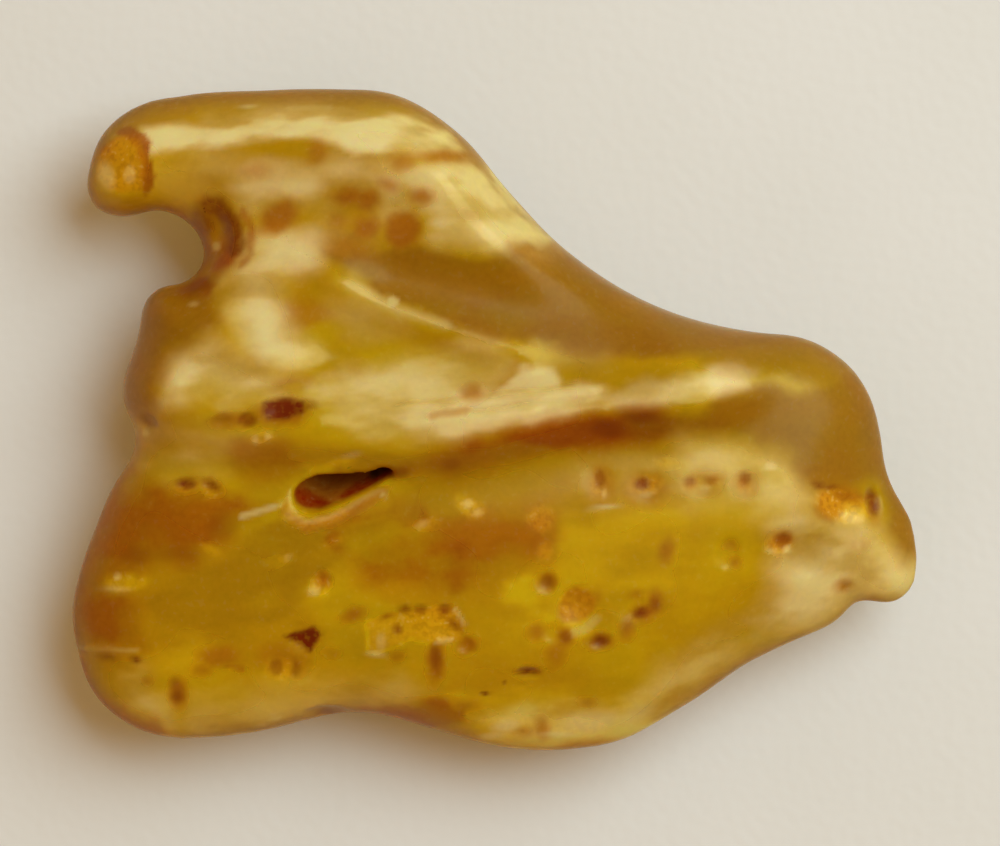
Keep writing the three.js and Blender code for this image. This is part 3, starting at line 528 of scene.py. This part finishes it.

# Dark red-brown spots in and beside the pits and breaks, and a crescent in the bay under the hook.
DARK_RED_SPOTS = Marks("ember", Side.UPPER, 0.45, (
    Stroke(((-21.2, 15), (-19.4, 15), (-18.4, 13.9), (-18, 12.4), (-18.6, 11)), 0.65, 0.75, 0.8),
    Oval(-20.5, 14, 0.8, 1.1, 20, 0.6, 0.8), Oval(-20.7, 9.5, 1.3, 0.5, 20, 0.5, 0.7),
    Patch((
        (-16.1, 1.2), (-14.6, 1.6), (-13.2, 1.3), (-13.1, 0.6), (-14.2, 0.1), (-15.7, 0), (-16.1, 0.5),
    )),
    Oval(-17.1, 0, 0.7, 0.5, 0, 0.7), Oval(-18.8, 0.2, 0.8, 0.3, 8, 0.4),
    Oval(-13, 1.1, 0.8, 0.35, -8, 0.5), Oval(-21.6, -4.4, 0.6, 0.3, -6),
    Oval(-19.8, -4.5, 0.65, 0.28, -30, 0.7), Oval(-24.3, -0.1, 0.55, 0.3, -20, 0.6),
    Patch(((-14.8, -15), (-12.6, -14.3), (-12.1, -14.9), (-12.8, -16.2), (-13.8, -15.5)), 1, 0.35),
    Oval(-15.3, -17.2, 0.5, 0.6, 0, 0.6), Oval(-13.9, -17.3, 0.3, 0.6, 0, 0.5),
    Oval(-27.2, -16.6, 0.7, 0.25, -5, 0.6), Oval(-25.1, -16.7, 0.4, 0.25, 0, 0.8),
    Oval(-22.3, -19.4, 0.4, 0.45, 0, 0.5), Oval(-22.4, -18.2, 0.3, 0.25, 0, 0.4),
    Oval(-6.3, -13.1, 0.4, 0.3, 0, 0.7), Oval(-5.2, -13.1, 0.4, 0.3, 0, 0.7),
    Oval(-3.5, -13.1, 0.4, 0.35, 0, 0.8), Oval(-6.8, -14.5, 0.35, 0.35, 0, 0.7),
    Oval(-2.8, -14.2, 0.6, 0.25, -45, 0.7), Oval(-7.5, -13.6, 0.4, 0.2, 20, 0.6),
    Oval(-4.2, -16.4, 0.3, 0.7, 0, 0.4), Oval(7.3, -4.1, 0.4, 0.7, 0, 0.6),
    Oval(10.2, -4.4, 0.55, 0.45, 0, 0.8), Oval(13.5, -4.2, 0.4, 0.3, 0, 0.6),
    Oval(15, -4.1, 0.4, 0.25, 0, 0.4), Oval(17.4, -4, 0.4, 0.4, 0, 0.6),
    Oval(22.6, -4.5, 0.45, 0.18, -10, 0.8), Oval(23.5, -4.7, 0.45, 0.18, -5, 0.8),
    Oval(24.5, -5.3, 1, 0.3, -12, 0.5), Oval(26.6, -5.8, 0.42, 0.95, 12, 0.85),
    Oval(20, -8.3, 0.55, 0.35, 0, 0.7), Oval(2.3, -17.5, 0.75, 0.25, 0, 0.9),
    Oval(7.3, -15.4, 0.55, 0.35, 0, 0.7), Oval(10.1, -13.4, 0.55, 0.35, 10, 0.8),
    Oval(11.1, -12.8, 0.4, 0.5, 0, 0.5), Oval(3.6, -11.2, 0.4, 0.35, 0, 0.5),
    Oval(4.9, -15, 0.35, 0.4, 0, 0.5), Oval(7.8, -0.6, 1.2, 0.6, -8, 0.6, 0.8),
    Oval(10.2, 0.2, 1.2, 0.4, 0, 0.6, 0.6), Oval(-6.9, -3.6, 0.9, 0.4, 0, 0.5),
    Oval(-3, -3, 0.6, 0.4, 0, 0.3), Oval(-0.7, -19.1, 0.28, 0.14, 0, 0.9, 0.2),
    Oval(0.7, -18.3, 0.16, 0.14, 0, 0.6, 0.2), Oval(-11.8, -20.5, 0.9, 0.3, 8, 0.5),
    Oval(-25, -9.4, 1, 0.6, 0, 0.35, 0.8), Oval(-21.8, -9.3, 1.6, 0.5, 0, 0.3, 0.8),
    Oval(-18.9, -7.3, 1, 0.9, 0, 0.3, 1),
), uneven=0.06, grain=1.8)

STAINS = Marks("stains", Side.UPPER, 0.9, (
    Oval(-12.4, 18.6, 0.7, 0.8, 0, 0.7), Oval(-15, 14.2, 1.5, 1, 30), Oval(-16, 13.4, 0.6, 0.5, 0, 0.7),
    Oval(-16.6, 17.3, 0.8, 0.4, 0, 0.5), Oval(-10.2, 15.5, 1.2, 0.7), Oval(-8.9, 15.3, 0.9, 0.8),
    Oval(-8.9, 13.4, 0.9, 0.7), Oval(-11, 14, 0.6, 0.6, 0, 0.6), Oval(-6.4, 13.2, 1.3, 1.3),
    Oval(-7.4, 16.3, 0.6, 0.35, -15, 0.8), Oval(-5.1, 15.5, 0.8, 0.5, 0, 0.9),
    Oval(-1.8, 14.3, 0.7, 0.4, -20, 0.5), Oval(-6.4, 18, 0.8, 0.6, 0, 0.7),
    Oval(-3.6, 18.4, 1.5, 0.4, 0, 0.9), Oval(-10, 11.9, 1.4, 0.6, 0, 0.6), Oval(-1.6, 2, 0.7, 0.6, 0, 0.8),
    Stroke(((-4.8, 0.3), (-3.4, 0.5), (-1.4, 0.8)), 0.2, 0.45, 0.4), Oval(-19.2, -16.5, 1.3, 0.7, 0, 0.8),
    Oval(-20.4, -17.4, 0.7, 0.4, 20, 0.7), Stroke(((-19, -17), (-17.4, -17.3)), 0.2, 0.7, 0.3),
    Oval(11.9, -9.1, 0.55, 0.9, -10, 0.8), Oval(16.4, -8.7, 0.4, 0.3, 0, 0.8),
    Oval(16.7, -9.9, 0.35, 0.35, 0, 0.7), Oval(3.6, -11.3, 0.65, 0.65, 0, 0.8),
    Oval(5.7, -12.8, 1.4, 1.15, 35, 0.8, 0.42), Oval(7.1, -12.3, 0.3, 0.4, 0, 0.7),
    Oval(2.9, -14.7, 0.5, 0.4, 0, 0.8), Oval(4.9, -15.1, 0.5, 0.6, 0, 0.9),
    Oval(4.3, -16.2, 0.6, 0.8, -15, 0.6), Oval(7.3, -15.4, 0.9, 0.6), Oval(10.4, -13.3, 1, 0.6, 15),
    Oval(11.1, -12.6, 0.55, 0.8, 0, 0.9), Oval(9.2, -14.4, 0.5, 0.9, -15, 0.9),
    Oval(9.9, -12.2, 0.4, 0.3, 0, 0.8), Oval(-4.2, -16.8, 0.55, 1.3), Oval(-2, -15.7, 0.6, 0.5, 0, 0.8),
    Oval(-6.8, -16.4, 0.5, 0.4, 0, 0.7), Oval(-9.8, -13.5, 0.8, 0.5, 20, 0.9), Patch(LOBE_BREAK, 0.5, 0.3),
    Patch(HOOK_BREAK, 0.6, 0.5), Oval(-11.9, -11.1, 0.5, 0.5), Oval(-11.2, -16.2, 0.5, 0.3, 0, 0.5),
    Oval(-22.2, -19, 0.6, 1, 0, 0.9), Oval(-24.3, -18.2, 0.35, 0.3, 0, 0.7),
    Oval(-14.6, -16.6, 1.8, 1.2, 0, 0.4), Oval(19.9, -8.4, 0.8, 0.6), Oval(24.6, -11.7, 0.6, 0.45, 0, 0.9),
    Oval(26.2, -12.9, 0.8, 0.35, 0, 0.8), Oval(25.2, -8.8, 0.3, 0.2, 0, 0.4),
    Oval(25.9, -8.7, 0.25, 0.2, 0, 0.5), Oval(23.4, -6, 1.1, 1, 0, 0.9),
    Oval(25, -5.4, 1.6, 0.6, -10, 0.8), Oval(26.6, -6, 0.6, 1.2, 8, 0.8),
    Oval(7.3, -4.2, 0.6, 0.9, 0, 0.7), Oval(10.6, -4.4, 1.2, 0.6, 5, 0.7),
    Oval(13.7, -4.4, 0.7, 0.6, 0, 0.8), Oval(15.2, -4.2, 0.7, 0.5, 0, 0.8),
    Oval(17.3, -4.3, 0.6, 0.7, 0, 0.9), Oval(3.3, -21.6, 0.5, 0.7, 0, 0.8),
    Oval(2, -21.8, 0.6, 0.3, 0, 0.8), Oval(6.4, -22.9, 1.2, 0.3, 5, 0.6),
    Oval(-4.2, -19.8, 0.8, 0.25, 0, 0.8), Oval(-2.2, -20, 0.6, 0.25, 0, 0.8),
    Oval(6.5, -19.7, 0.5, 0.3, 0, 0.6), Oval(-14.8, 0.5, 2, 0.9, 4, 0.8), Oval(-17.8, 0, 1.7, 0.5, 6, 0.8),
    Oval(-21.5, -4.5, 0.9, 0.5, 0, 0.7), Oval(-19.8, -4.6, 0.9, 0.5, -25, 0.6),
    Oval(-10.9, -3.2, 0.2, 0.3, 0, 0.7),
    Stroke((
        (-14.5, -4.4), (-14.6, -6.4), (-13, -7.4), (-11.4, -7), (-9.8, -6.2), (-8.4, -5.3), (-6.4, -4.2),
    ), 0.35, 0.7, 0.6),
    Oval(-6.2, -3.4, 0.9, 0.5, 10, 0.7), Oval(7.3, -4.6, 1, 1.3, 0, 0.5),
    Oval(10.5, -4.7, 1.6, 1.1, 0, 0.5), Oval(14.3, -4.5, 1.7, 0.9, 0, 0.4),
    Oval(17.3, -4.5, 1, 1, 0, 0.45), Oval(3.2, -6.8, 1, 0.9, 0, 0.45), Oval(3.5, -9, 0.7, 0.8, 0, 0.4),
), uneven=0.1, grain=2.4, torn=0.15)


@dataclass
class Sketch:
    """Adds nodes to one material and links them."""

    tree: bpy.types.NodeTree

    @classmethod
    def start(cls, name: str) -> tuple["Sketch", bpy.types.Material, bpy.types.Node, bpy.types.Node]:
        """Makes an empty material.

        Args:
            name: The material's name.

        Returns:
            Its sketch, the material, its surface shader and its output node.
        """
        material = bpy.data.materials.new(name)
        material.use_nodes = True
        nodes = material.node_tree.nodes
        return cls(material.node_tree), material, nodes["Principled BSDF"], nodes["Material Output"]

    def feed(self, socket: Socket, value: Socket | float | Colour) -> None:
        """Links a socket to another, or sets its value."""
        if isinstance(value, bpy.types.NodeSocket):
            self.tree.links.new(value, socket)
        else:
            socket.default_value = value

    def add(self, kind: str, **settings: object) -> bpy.types.Node:
        """Adds a node of a kind and sets its properties."""
        node = self.tree.nodes.new(kind)
        for name, value in settings.items():
            setattr(node, name, value)
        return node

    def places(self) -> Socket:
        """Coordinates on the piece itself, in metres."""
        return self.add("ShaderNodeTexCoord").outputs["Object"]

    def attribute(self, name: str) -> Socket:
        """The weight that the mesh holds under a name."""
        return self.add("ShaderNodeAttribute", attribute_name=name).outputs["Fac"]

    def painted(self, name: str) -> Socket:
        """The colour that the mesh holds under a name."""
        return self.add("ShaderNodeAttribute", attribute_name=name).outputs["Color"]

    def noise(self, places: Socket, size: float, detail: float) -> Socket:
        """Cloudy noise from 0 to 1.

        Args:
            places: Coordinates in metres.
            size: Size of the largest clouds, in metres.
            detail: How many finer layers are added.

        Returns:
            The noise.
        """
        node = self.add("ShaderNodeTexNoise")
        self.feed(node.inputs["Vector"], places)
        self.feed(node.inputs["Scale"], 1 / size)
        self.feed(node.inputs["Detail"], detail)
        return node.outputs["Fac"]

    def remap(self, value: Socket, low: float, high: float, to_low: float, to_high: float) -> Socket:
        """Eases a value from one range to another."""
        node = self.add("ShaderNodeMapRange", interpolation_type="SMOOTHSTEP")
        self.feed(node.inputs["Value"], value)
        limits = {"From Min": low, "From Max": high, "To Min": to_low, "To Max": to_high}
        for name, number in limits.items():
            self.feed(node.inputs[name], number)
        return node.outputs["Result"]

    def ramp(self, value: Socket, stops: dict[float, Colour]) -> Socket:
        """Turns a value into a colour that changes from stop to stop."""
        node = self.add("ShaderNodeValToRGB")
        elements = node.color_ramp.elements
        elements.remove(elements[1])
        for place, colour in stops.items():
            element = elements.new(place)
            element.color = colour
        elements.remove(elements[0])
        self.feed(node.inputs["Fac"], value)
        return node.outputs["Color"]

    def times(self, first: Socket, second: Socket) -> Socket:
        """Multiplies two values."""
        node = self.add("ShaderNodeMath", operation="MULTIPLY")
        self.feed(node.inputs[0], first)
        self.feed(node.inputs[1], second)
        return node.outputs[0]

    def blend(self, share: Socket | float, low: Socket | Colour, high: Socket | Colour) -> Socket:
        """Mixes two colours."""
        node = self.add("ShaderNodeMix", data_type="RGBA")
        self.feed(node.inputs["Factor"], share)
        self.feed(node.inputs[6], low)
        self.feed(node.inputs[7], high)
        return node.outputs[2]

    def bump(self, height: Socket, depth: Socket | float, strength: float) -> Socket:
        """Turns a height into a normal.

        Args:
            height: Height from 0 to 1.
            depth: What a height of 1 stands for, in metres.
            strength: Share of the effect.

        Returns:
            The normal.
        """
        node = self.add("ShaderNodeBump")
        self.feed(node.inputs["Height"], height)
        self.feed(node.inputs["Distance"], depth)
        self.feed(node.inputs["Strength"], strength)
        return node.outputs["Normal"]


@dataclass(frozen=True)
class ResinFinish:
    """Cloudy see-through resin with a satin polish, stained and grainy where pits are, with painted
    reflection, glow, highlights and shade in its colour.

    Dullnesses add to the skin's roughness, and shares run from 0 to 1.
    """

    gold: Colour = tint(238, 210, 14)
    honey: Colour = tint(198, 132, 2)
    olive: Colour = tint(194, 158, 8)
    # cream of the resin's clouds and of the painted reflection of the key light
    cream: Colour = tint(255, 244, 222)
    # lemon yellow of the clear resin and of its painted glow
    yellow: Colour = tint(255, 228, 24)
    # colour of the painted highlights
    shine: Colour = tint(255, 240, 200)
    # deep amber of thick resin and of the painted shade
    deep: Colour = tint(170, 118, 2)
    # red-brown of the resin and of the painted shade
    rust: Colour = tint(176, 90, 2)
    # painted shade: the steep rims are darker amber, as a long path through the resin shows them
    rim_shade: Colour = tint(196, 146, 4)
    brown: Colour = tint(156, 88, 6)
    brown_light: Colour = tint(220, 164, 24)
    pale: Colour = tint(255, 230, 165)
    stain: Colour = tint(196, 126, 4)
    # dark red-brown of the spots at the pits and the bay
    ember: Colour = tint(128, 34, 2)
    wall: Colour = tint(160, 92, 30)
    corner: Colour = tint(130, 14, 2)
    # painted shade, near black, deep in the cavity
    depth: Colour = tint(20, 6, 2)
    ior: float = 1.54
    absorbed: Colour = (1.0, 0.8, 0.06, 1.0)
    absorption: float = 100.0  # per metre
    body_glow: float = 0.6  # share of light that wanders under the skin
    glow_reach: float = 1.4 * MM
    glow_spread: tuple[float, float, float] = (1.0, 0.6, 0.14)  # how far red, green and blue wander
    veil: Colour = (1.0, 0.84, 0.5, 1.0)  # what the satin skin gives back of white light
    veil_level: float = 0.2
    weathering: Colour = (1.0, 0.96, 0.58, 1.0)  # what the thin, oxidised skin lets through
    weathered_ior: float = 1.12
    clear: float = 0.5  # share of light that passes straight through
    # cloud_loss also takes clearness away where the reflection is painted
    cloud_loss: float = 0.2  # how much less of it where the resin is cloudy
    dull_loss: float = 0.9  # and the share of it that is lost in rubble and in the cavity
    satin: float = 0.22  # roughness of the tumbled skin
    satin_change: float = 0.06
    rubble_dullness: float = 0.15
    stain_dullness: float = 0.3
    deep_and_shade_dullness: float = 0.32
    rim_dullness: float = 0.4
    grain: float = 0.45 * MM
    mottle: float = 0.08  # share of the grains' colours in the whole skin
    rubble_mottle: float = 0.05  # and how much more of them there is in rubble
    rubble_mottle_change: float = 0.22
    grit_depth: float = 0.06 * MM
    satin_depth: float = 0.008 * MM
    haze: float = 0.35  # share of honey and olive clouds in the plain gold resin
    streakiness: float = 0.45  # how much the clouds thin the patches of colour
    deep_and_shade_streakiness: float = 0.2
    streak_contrast: float = 0.3  # how much the clouds darken and lighten every colour

    def paint(self, weights: dict[str, np.ndarray]) -> dict[str, np.ndarray]:
        """Works out the resin's finish at every vertex, one layer of colour over another, with painted
        light and shade among the layers.

        Args:
            weights: The weight of each kind of marks and clouds at every vertex.

        Returns:
            The colour with its painted light and shade, how clear, rough and grainy the resin is, and its
            share of dark red.
        """
        small = weights["small_clouds"]
        streaky = 1 - self.streakiness * fade(small, 0.65, 0.2)
        cloud = weights["cloud"] * streaky
        # Painted light among the layers: reflection in the cream, glow in the yellow, shade in the rim,
        # red-brown and deep colours and in the cavity's black, and highlights.
        layers = (
            (self.haze * fade(weights["broad_clouds"], 0.35, 0.65), self.honey),
            (self.haze * fade(small, 0.5, 0.75), self.olive),
            (weights["steep"], self.rim_shade),
            (weights["olive"] * streaky, self.olive),
            (weights["honey"] * streaky, self.honey),
            (weights["glow"] * streaky, self.yellow),
            (cloud, self.cream),
            (weights["rust"] * streaky, self.rust),
            (weights["deep"] * (1 - self.deep_and_shade_streakiness * (1 - streaky)), self.deep),
            (weights["stains"], self.stain),
            (weights["shine"], self.shine),
            (weights["cavity"], self.wall),
            (weights["cavity_red"], self.corner),
            (weights["cavity_depth"], self.depth),
        )
        colour = np.tile(np.array(self.gold), (len(small), 1))
        for share, tone in layers:
            colour += share[:, None] * (np.array(tone) - colour)
        colour *= (1 + self.streak_contrast * (small - 0.5))[:, None]
        rubble = np.maximum(weights["rubble"], weights["under_rubble"])
        dull = np.maximum(rubble, weights["cavity"])
        dullness = self.satin_change * fade(weights["broad_clouds"], 0.3, 0.7)
        dullness += self.rubble_dullness * rubble + self.stain_dullness * weights["stains"]
        dullness += np.maximum(self.deep_and_shade_dullness * weights["deep"], self.rim_dullness * weights["steep"])
        more_grains = self.rubble_mottle + self.rubble_mottle_change * fade(small, 0.3, 0.6)
        return {
            "resin_colour": colour,
            "clear": (self.clear - self.cloud_loss * cloud) * (1 - self.dull_loss * dull),
            "rough": self.satin + dullness,
            "grainy": self.mottle + rubble * more_grains,
            "grit": self.satin_depth + (self.grit_depth - self.satin_depth) * rubble,
            "dark_red_share": weights["ember"],
        }

    def make(self) -> bpy.types.Material:
        """Builds the material.

        Returns:
            The resin.
        """
        sketch, material, shader, output = Sketch.start("copal_resin")
        fine = sketch.noise(sketch.places(), self.grain, 1.0)
        stops = {0.36: self.brown, 0.5: self.brown_light, 0.62: self.brown_light, 0.74: self.pale}
        grains = sketch.ramp(fine, stops)
        colour = sketch.blend(sketch.attribute("grainy"), sketch.painted("resin_colour"), grains)
        dark_red_share = sketch.times(sketch.attribute("dark_red_share"), sketch.remap(fine, 0.35, 0.55, 0.75, 1))
        sketch.feed(shader.inputs["Base Color"], sketch.blend(dark_red_share, colour, self.ember))
        sketch.feed(shader.inputs["Transmission Weight"], sketch.attribute("clear"))
        sketch.feed(shader.inputs["Roughness"], sketch.attribute("rough"))
        sketch.feed(shader.inputs["Normal"], sketch.bump(fine, sketch.attribute("grit"), 1.0))

        shader.inputs["IOR"].default_value = self.ior
        shader.inputs["Specular Tint"].default_value = self.veil
        shader.inputs["Specular IOR Level"].default_value = self.veil_level
        shader.inputs["Coat Weight"].default_value = 1.0
        shader.inputs["Coat Roughness"].default_value = self.satin
        shader.inputs["Coat IOR"].default_value = self.weathered_ior
        shader.inputs["Coat Tint"].default_value = self.weathering
        shader.inputs["Subsurface Weight"].default_value = self.body_glow
        shader.inputs["Subsurface Radius"].default_value = self.glow_spread
        shader.inputs["Subsurface Scale"].default_value = self.glow_reach

        volume = sketch.add("ShaderNodeVolumeAbsorption")
        volume.inputs["Color"].default_value = self.absorbed
        volume.inputs["Density"].default_value = self.absorption
        sketch.feed(output.inputs["Volume"], volume.outputs["Volume"])
        return material


@dataclass(frozen=True)
class PaperFinish:
    """Plain pale paper with a faint grain."""

    pale: Colour = tint(229, 231, 229)
    shade: Colour = tint(222, 224, 220)
    shade_size: float = 20 * MM
    fibre: float = 0.8 * MM
    fibre_depth: float = 0.05 * MM
    fibre_share: float = 0.5
    rough: float = 0.8
    sheen_level: float = 0.2

    def make(self) -> bpy.types.Material:
        """Builds the material.

        Returns:
            The paper.
        """
        sketch, material, shader, _ = Sketch.start("pale_table")
        places = sketch.places()
        colour = sketch.blend(sketch.noise(places, self.shade_size, 1.0), self.pale, self.shade)
        sketch.feed(shader.inputs["Base Color"], colour)
        shader.inputs["Roughness"].default_value = self.rough
        shader.inputs["Specular IOR Level"].default_value = self.sheen_level
        relief = sketch.bump(sketch.noise(places, self.fibre, 0.0), self.fibre_depth, self.fibre_share)
        sketch.feed(shader.inputs["Normal"], relief)
        return material


def deselect_all() -> None:
    """Leaves object mode with nothing selected."""
    if bpy.context.object and bpy.context.object.mode != "OBJECT":
        bpy.ops.object.mode_set(mode="OBJECT")
    bpy.ops.object.select_all(action="DESELECT")


def choose(piece: bpy.types.Object) -> None:
    """Selects one object alone and makes it the active one."""
    deselect_all()
    piece.select_set(True)
    bpy.context.view_layer.objects.active = piece


def finish_with(piece: bpy.types.Object, kind: str, **settings: object) -> None:
    """Adds a modifier and applies it.

    Args:
        piece: The object.
        kind: The modifier's type.
        settings: The modifier's properties.
    """
    modifier = piece.modifiers.new(kind.title(), kind)
    for name, value in settings.items():
        setattr(modifier, name, value)
    choose(piece)
    bpy.ops.object.modifier_apply(modifier=modifier.name)


@dataclass
class CopalSkin:
    """The visible lump: a fine, smooth copy of the solid with its small relief and its marks."""

    voxel: float = 0.265 * MM
    sharp_edge: float = 50.0  # degrees
    crease: float = 0.8
    smoothing: float = 0.5  # share of the way in each round
    smoothing_rounds: int = 10
    swell: float = 0.12 * MM  # height of the slow unevenness of a tumbled face
    swell_size: float = 6 * MM
    pit_depth: float = 0.28 * MM
    rubble_height: float = 0.12 * MM
    rubble_size: float = 0.5 * MM
    rubble_level: float = 0.65  # the share of the clouds that lies at the skin; what is under it is a pit
    line_height: float = 0.16 * MM
    broad_size: float = 9.0  # millimetres, as the next
    small_size: float = 3.0
    steep_from: float = 0.85  # upward share of the normal where a slope begins to count as a rim
    steep_to: float = 0.35
    merge_distance: float = 0.001 * MM

    def build(self) -> bpy.types.Object:
        """Models and dresses the skin.

        Returns:
            The finished piece.
        """
        skin = self._copy_solid()
        self._refine(skin)
        self._carve(skin)
        self._mark(skin)
        skin.data.materials.clear()
        skin.data.materials.append(ResinFinish().make())
        choose(skin)
        bpy.ops.object.shade_smooth()
        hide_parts(NODE)
        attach(skin, BODY)
        log.info("%s: %d faces", skin.name, len(skin.data.polygons))
        return skin

    def _copy_solid(self) -> bpy.types.Object:
        """Copies the CAD node's mesh into a new object and merges its loose triangles."""
        choose(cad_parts[NODE])
        bpy.ops.object.duplicate()
        skin = bpy.context.object
        skin.name = "copal_skin"
        skin.parent = None
        choose(skin)
        bpy.ops.object.mode_set(mode="EDIT")
        bpy.ops.mesh.select_all(action="SELECT")
        bpy.ops.mesh.remove_doubles(threshold=self.merge_distance)
        bpy.ops.mesh.customdata_custom_splitnormals_clear()
        bpy.ops.mesh.select_all(action="DESELECT")
        bpy.ops.mesh.select_mode(type="EDGE")
        bpy.ops.mesh.edges_select_sharp(sharpness=math.radians(self.sharp_edge))
        bpy.ops.transform.edge_crease(value=self.crease)
        bpy.ops.object.mode_set(mode="OBJECT")
        return skin

    def _refine(self, skin: bpy.types.Object) -> None:
        """Rounds the facets, then gives the skin an even, fine mesh."""
        finish_with(skin, "SUBSURF", levels=2, render_levels=2)
        finish_with(skin, "REMESH", mode="VOXEL", voxel_size=self.voxel, use_smooth_shade=True)
        finish_with(skin, "SMOOTH", factor=self.smoothing, iterations=self.smoothing_rounds)

    def _surface(self, skin: bpy.types.Object) -> tuple[np.ndarray, np.ndarray]:
        """Reads the vertices' places, in millimetres, and their normals."""
        mesh = skin.data
        points = np.empty(len(mesh.vertices) * 3)
        mesh.vertices.foreach_get("co", points)
        normals = np.empty(len(mesh.vertices) * 3)
        mesh.vertex_normals.foreach_get("vector", normals)
        return points.reshape(-1, 3) / MM, normals.reshape(-1, 3)

    def _group(self, skin: bpy.types.Object, name: str, weights: np.ndarray) -> str:
        """Keeps weights as a vertex group."""
        group = skin.vertex_groups.new(name=name)
        for index in np.flatnonzero(weights > 0.001):
            group.add([int(index)], float(weights[index]), "REPLACE")
        return group.name

    def _clouds(self, name: str, size: float, depth: int) -> bpy.types.Texture:
        """Makes a cloud texture for a displacement."""
        clouds = bpy.data.textures.new(name, "CLOUDS")
        clouds.noise_scale = size
        clouds.noise_depth = depth
        return clouds

    def _carve(self, skin: bpy.types.Object) -> None:
        """Adds the relief that is too fine for the solid."""
        surface = self._surface(skin)
        pits = self._group(skin, "fine_pits", FINE_PITS.weigh(*surface))
        lines = self._group(skin, "flow_lines", FLOW_LINES.weigh(*surface))
        rubble = np.maximum(RUBBLE.weigh(*surface), UNDER_RUBBLE.weigh(*surface))
        crumbs = self._group(skin, "crumbs", rubble)
        swell = self._clouds("tumbled_swell", self.swell_size, 1)
        rubble_clouds = self._clouds("rubble_clouds", self.rubble_size, 2)
        for relief in (
            {"texture": swell, "strength": self.swell, "mid_level": 0.5},
            {"vertex_group": pits, "strength": -self.pit_depth, "mid_level": 0.0},
            {"vertex_group": lines, "strength": self.line_height, "mid_level": 0.0},
            {
                "texture": rubble_clouds, "vertex_group": crumbs,
                "strength": self.rubble_height, "mid_level": self.rubble_level,
            },
        ):
            finish_with(skin, "DISPLACE", texture_coords="LOCAL", **relief)
        skin.vertex_groups.clear()
        for vertex in skin.data.vertices:
            vertex.co.z = max(vertex.co.z, 0.0)

    def _mark(self, skin: bpy.types.Object) -> None:
        """Paints the resin's finish, painted light and shade among it, into attributes of the mesh."""
        points, normals = self._surface(skin)
        kinds = (
            OLIVE, HONEY, RED_BROWN_AND_SHADE, PAINTED_GLOW, CLOUD_AND_REFLECTION, DEEP_AND_SHADE, STAINS, PAINTED_HIGHLIGHTS, DARK_RED_SPOTS, RUBBLE, UNDER_RUBBLE,
            CAVITY, CAVITY_RED, CAVITY_SHADE,
        )
        streaks = clouds(points * STREAKS, self.small_size, 4)
        pull = 2 * streaks - 1
        weights = {marks.name: marks.weigh(points, normals, pull) for marks in kinds}
        weights["broad_clouds"] = clouds(points, self.broad_size, 2)
        weights["small_clouds"] = streaks
        # How steep each vertex is; the steep rims get painted shade and a duller skin.
        weights["steep"] = fade(np.abs(normals[:, 2]), self.steep_from, self.steep_to)
        for name, values in ResinFinish().paint(weights).items():
            self._store(skin, name, values)

    def _store(self, skin: bpy.types.Object, name: str, values: np.ndarray) -> None:
        """Writes numbers, or colours with an alpha, to a mesh attribute."""
        kind, field = ("FLOAT_COLOR", "color") if values.ndim == 2 else ("FLOAT", "value")
        attribute = skin.data.attributes.new(name, kind, "POINT")
        attribute.data.foreach_set(field, values.astype(np.float32).ravel())


@dataclass
class Table:
    """The pale sheet that the lump lies on."""

    size: float = 1.2  # metres
    drop: float = 0.02 * MM  # how far it lies under the lump

    def build(self) -> bpy.types.Object:
        """Makes the table top.

        Returns:
            The table top, which isn't part of the object.
        """
        deselect_all()
        bpy.ops.mesh.primitive_plane_add(size=self.size, location=(0, 0, -self.drop))
        table = bpy.context.object
        table.name = "table"
        table.data.materials.append(PaperFinish().make())
        log.info("table: %.1f m wide", self.size)
        return table


@dataclass
class Studio:
    """Soft light from the upper right, and a pale room."""

    key_place: tuple[float, float, float] = (0.31, 0.22, 0.5)  # metres, as the next
    key_size: float = 0.5
    key_power: float = 3.7  # watts
    key_colour: tuple[float, float, float] = (0.8, 0.94, 1.0)
    room: Colour = (1.0, 0.6, 0.26, 1.0)
    room_strength: float = 0.44

    def build(self) -> None:
        """Lights the scene."""
        deselect_all()
        bpy.ops.object.light_add(type="AREA", location=self.key_place)
        key = bpy.context.object
        key.name = "key_light"
        key.data.size = self.key_size
        key.data.energy = self.key_power
        key.data.color = self.key_colour
        key.rotation_euler = Vector(self.key_place).to_track_quat("Z", "Y").to_euler()
        world = bpy.data.worlds.new("room")
        bpy.context.scene.world = world
        world.use_nodes = True
        background = world.node_tree.nodes["Background"]
        background.inputs["Color"].default_value = self.room
        background.inputs["Strength"].default_value = self.room_strength
        log.info("studio: key light of %.0f W", self.key_power)


@dataclass
class PhotoCamera:
    """A camera straight above the lump, as in the photograph."""

    distance: float = 0.3  # metres, over the lump's waist
    sensor: float = 36.0
    nearest: float = 10 * MM

    def build(self) -> bpy.types.Object:
        """Places the camera and makes it the scene's own.

        Returns:
            The camera.
        """
        deselect_all()
        bpy.ops.object.camera_add(location=(*PHOTO_MIDDLE, WAIST + self.distance), rotation=(0, 0, 0))
        camera = bpy.context.object
        camera.name = "photo_camera"
        camera.data.sensor_width = self.sensor
        camera.data.lens = self.sensor * self.distance / PHOTO_WIDTH
        camera.data.clip_start = self.nearest
        bpy.context.scene.camera = camera
        log.info("camera: lens of %.0f mm", camera.data.lens)
        return camera


def main() -> None:
    """Builds the lump and its stage."""
    bpy.context.scene.view_settings.view_transform = "Standard"
    PhotoCamera().build()
    CopalSkin().build()
    Table().build()
    Studio().build()


if __name__ == "__main__":
    main()
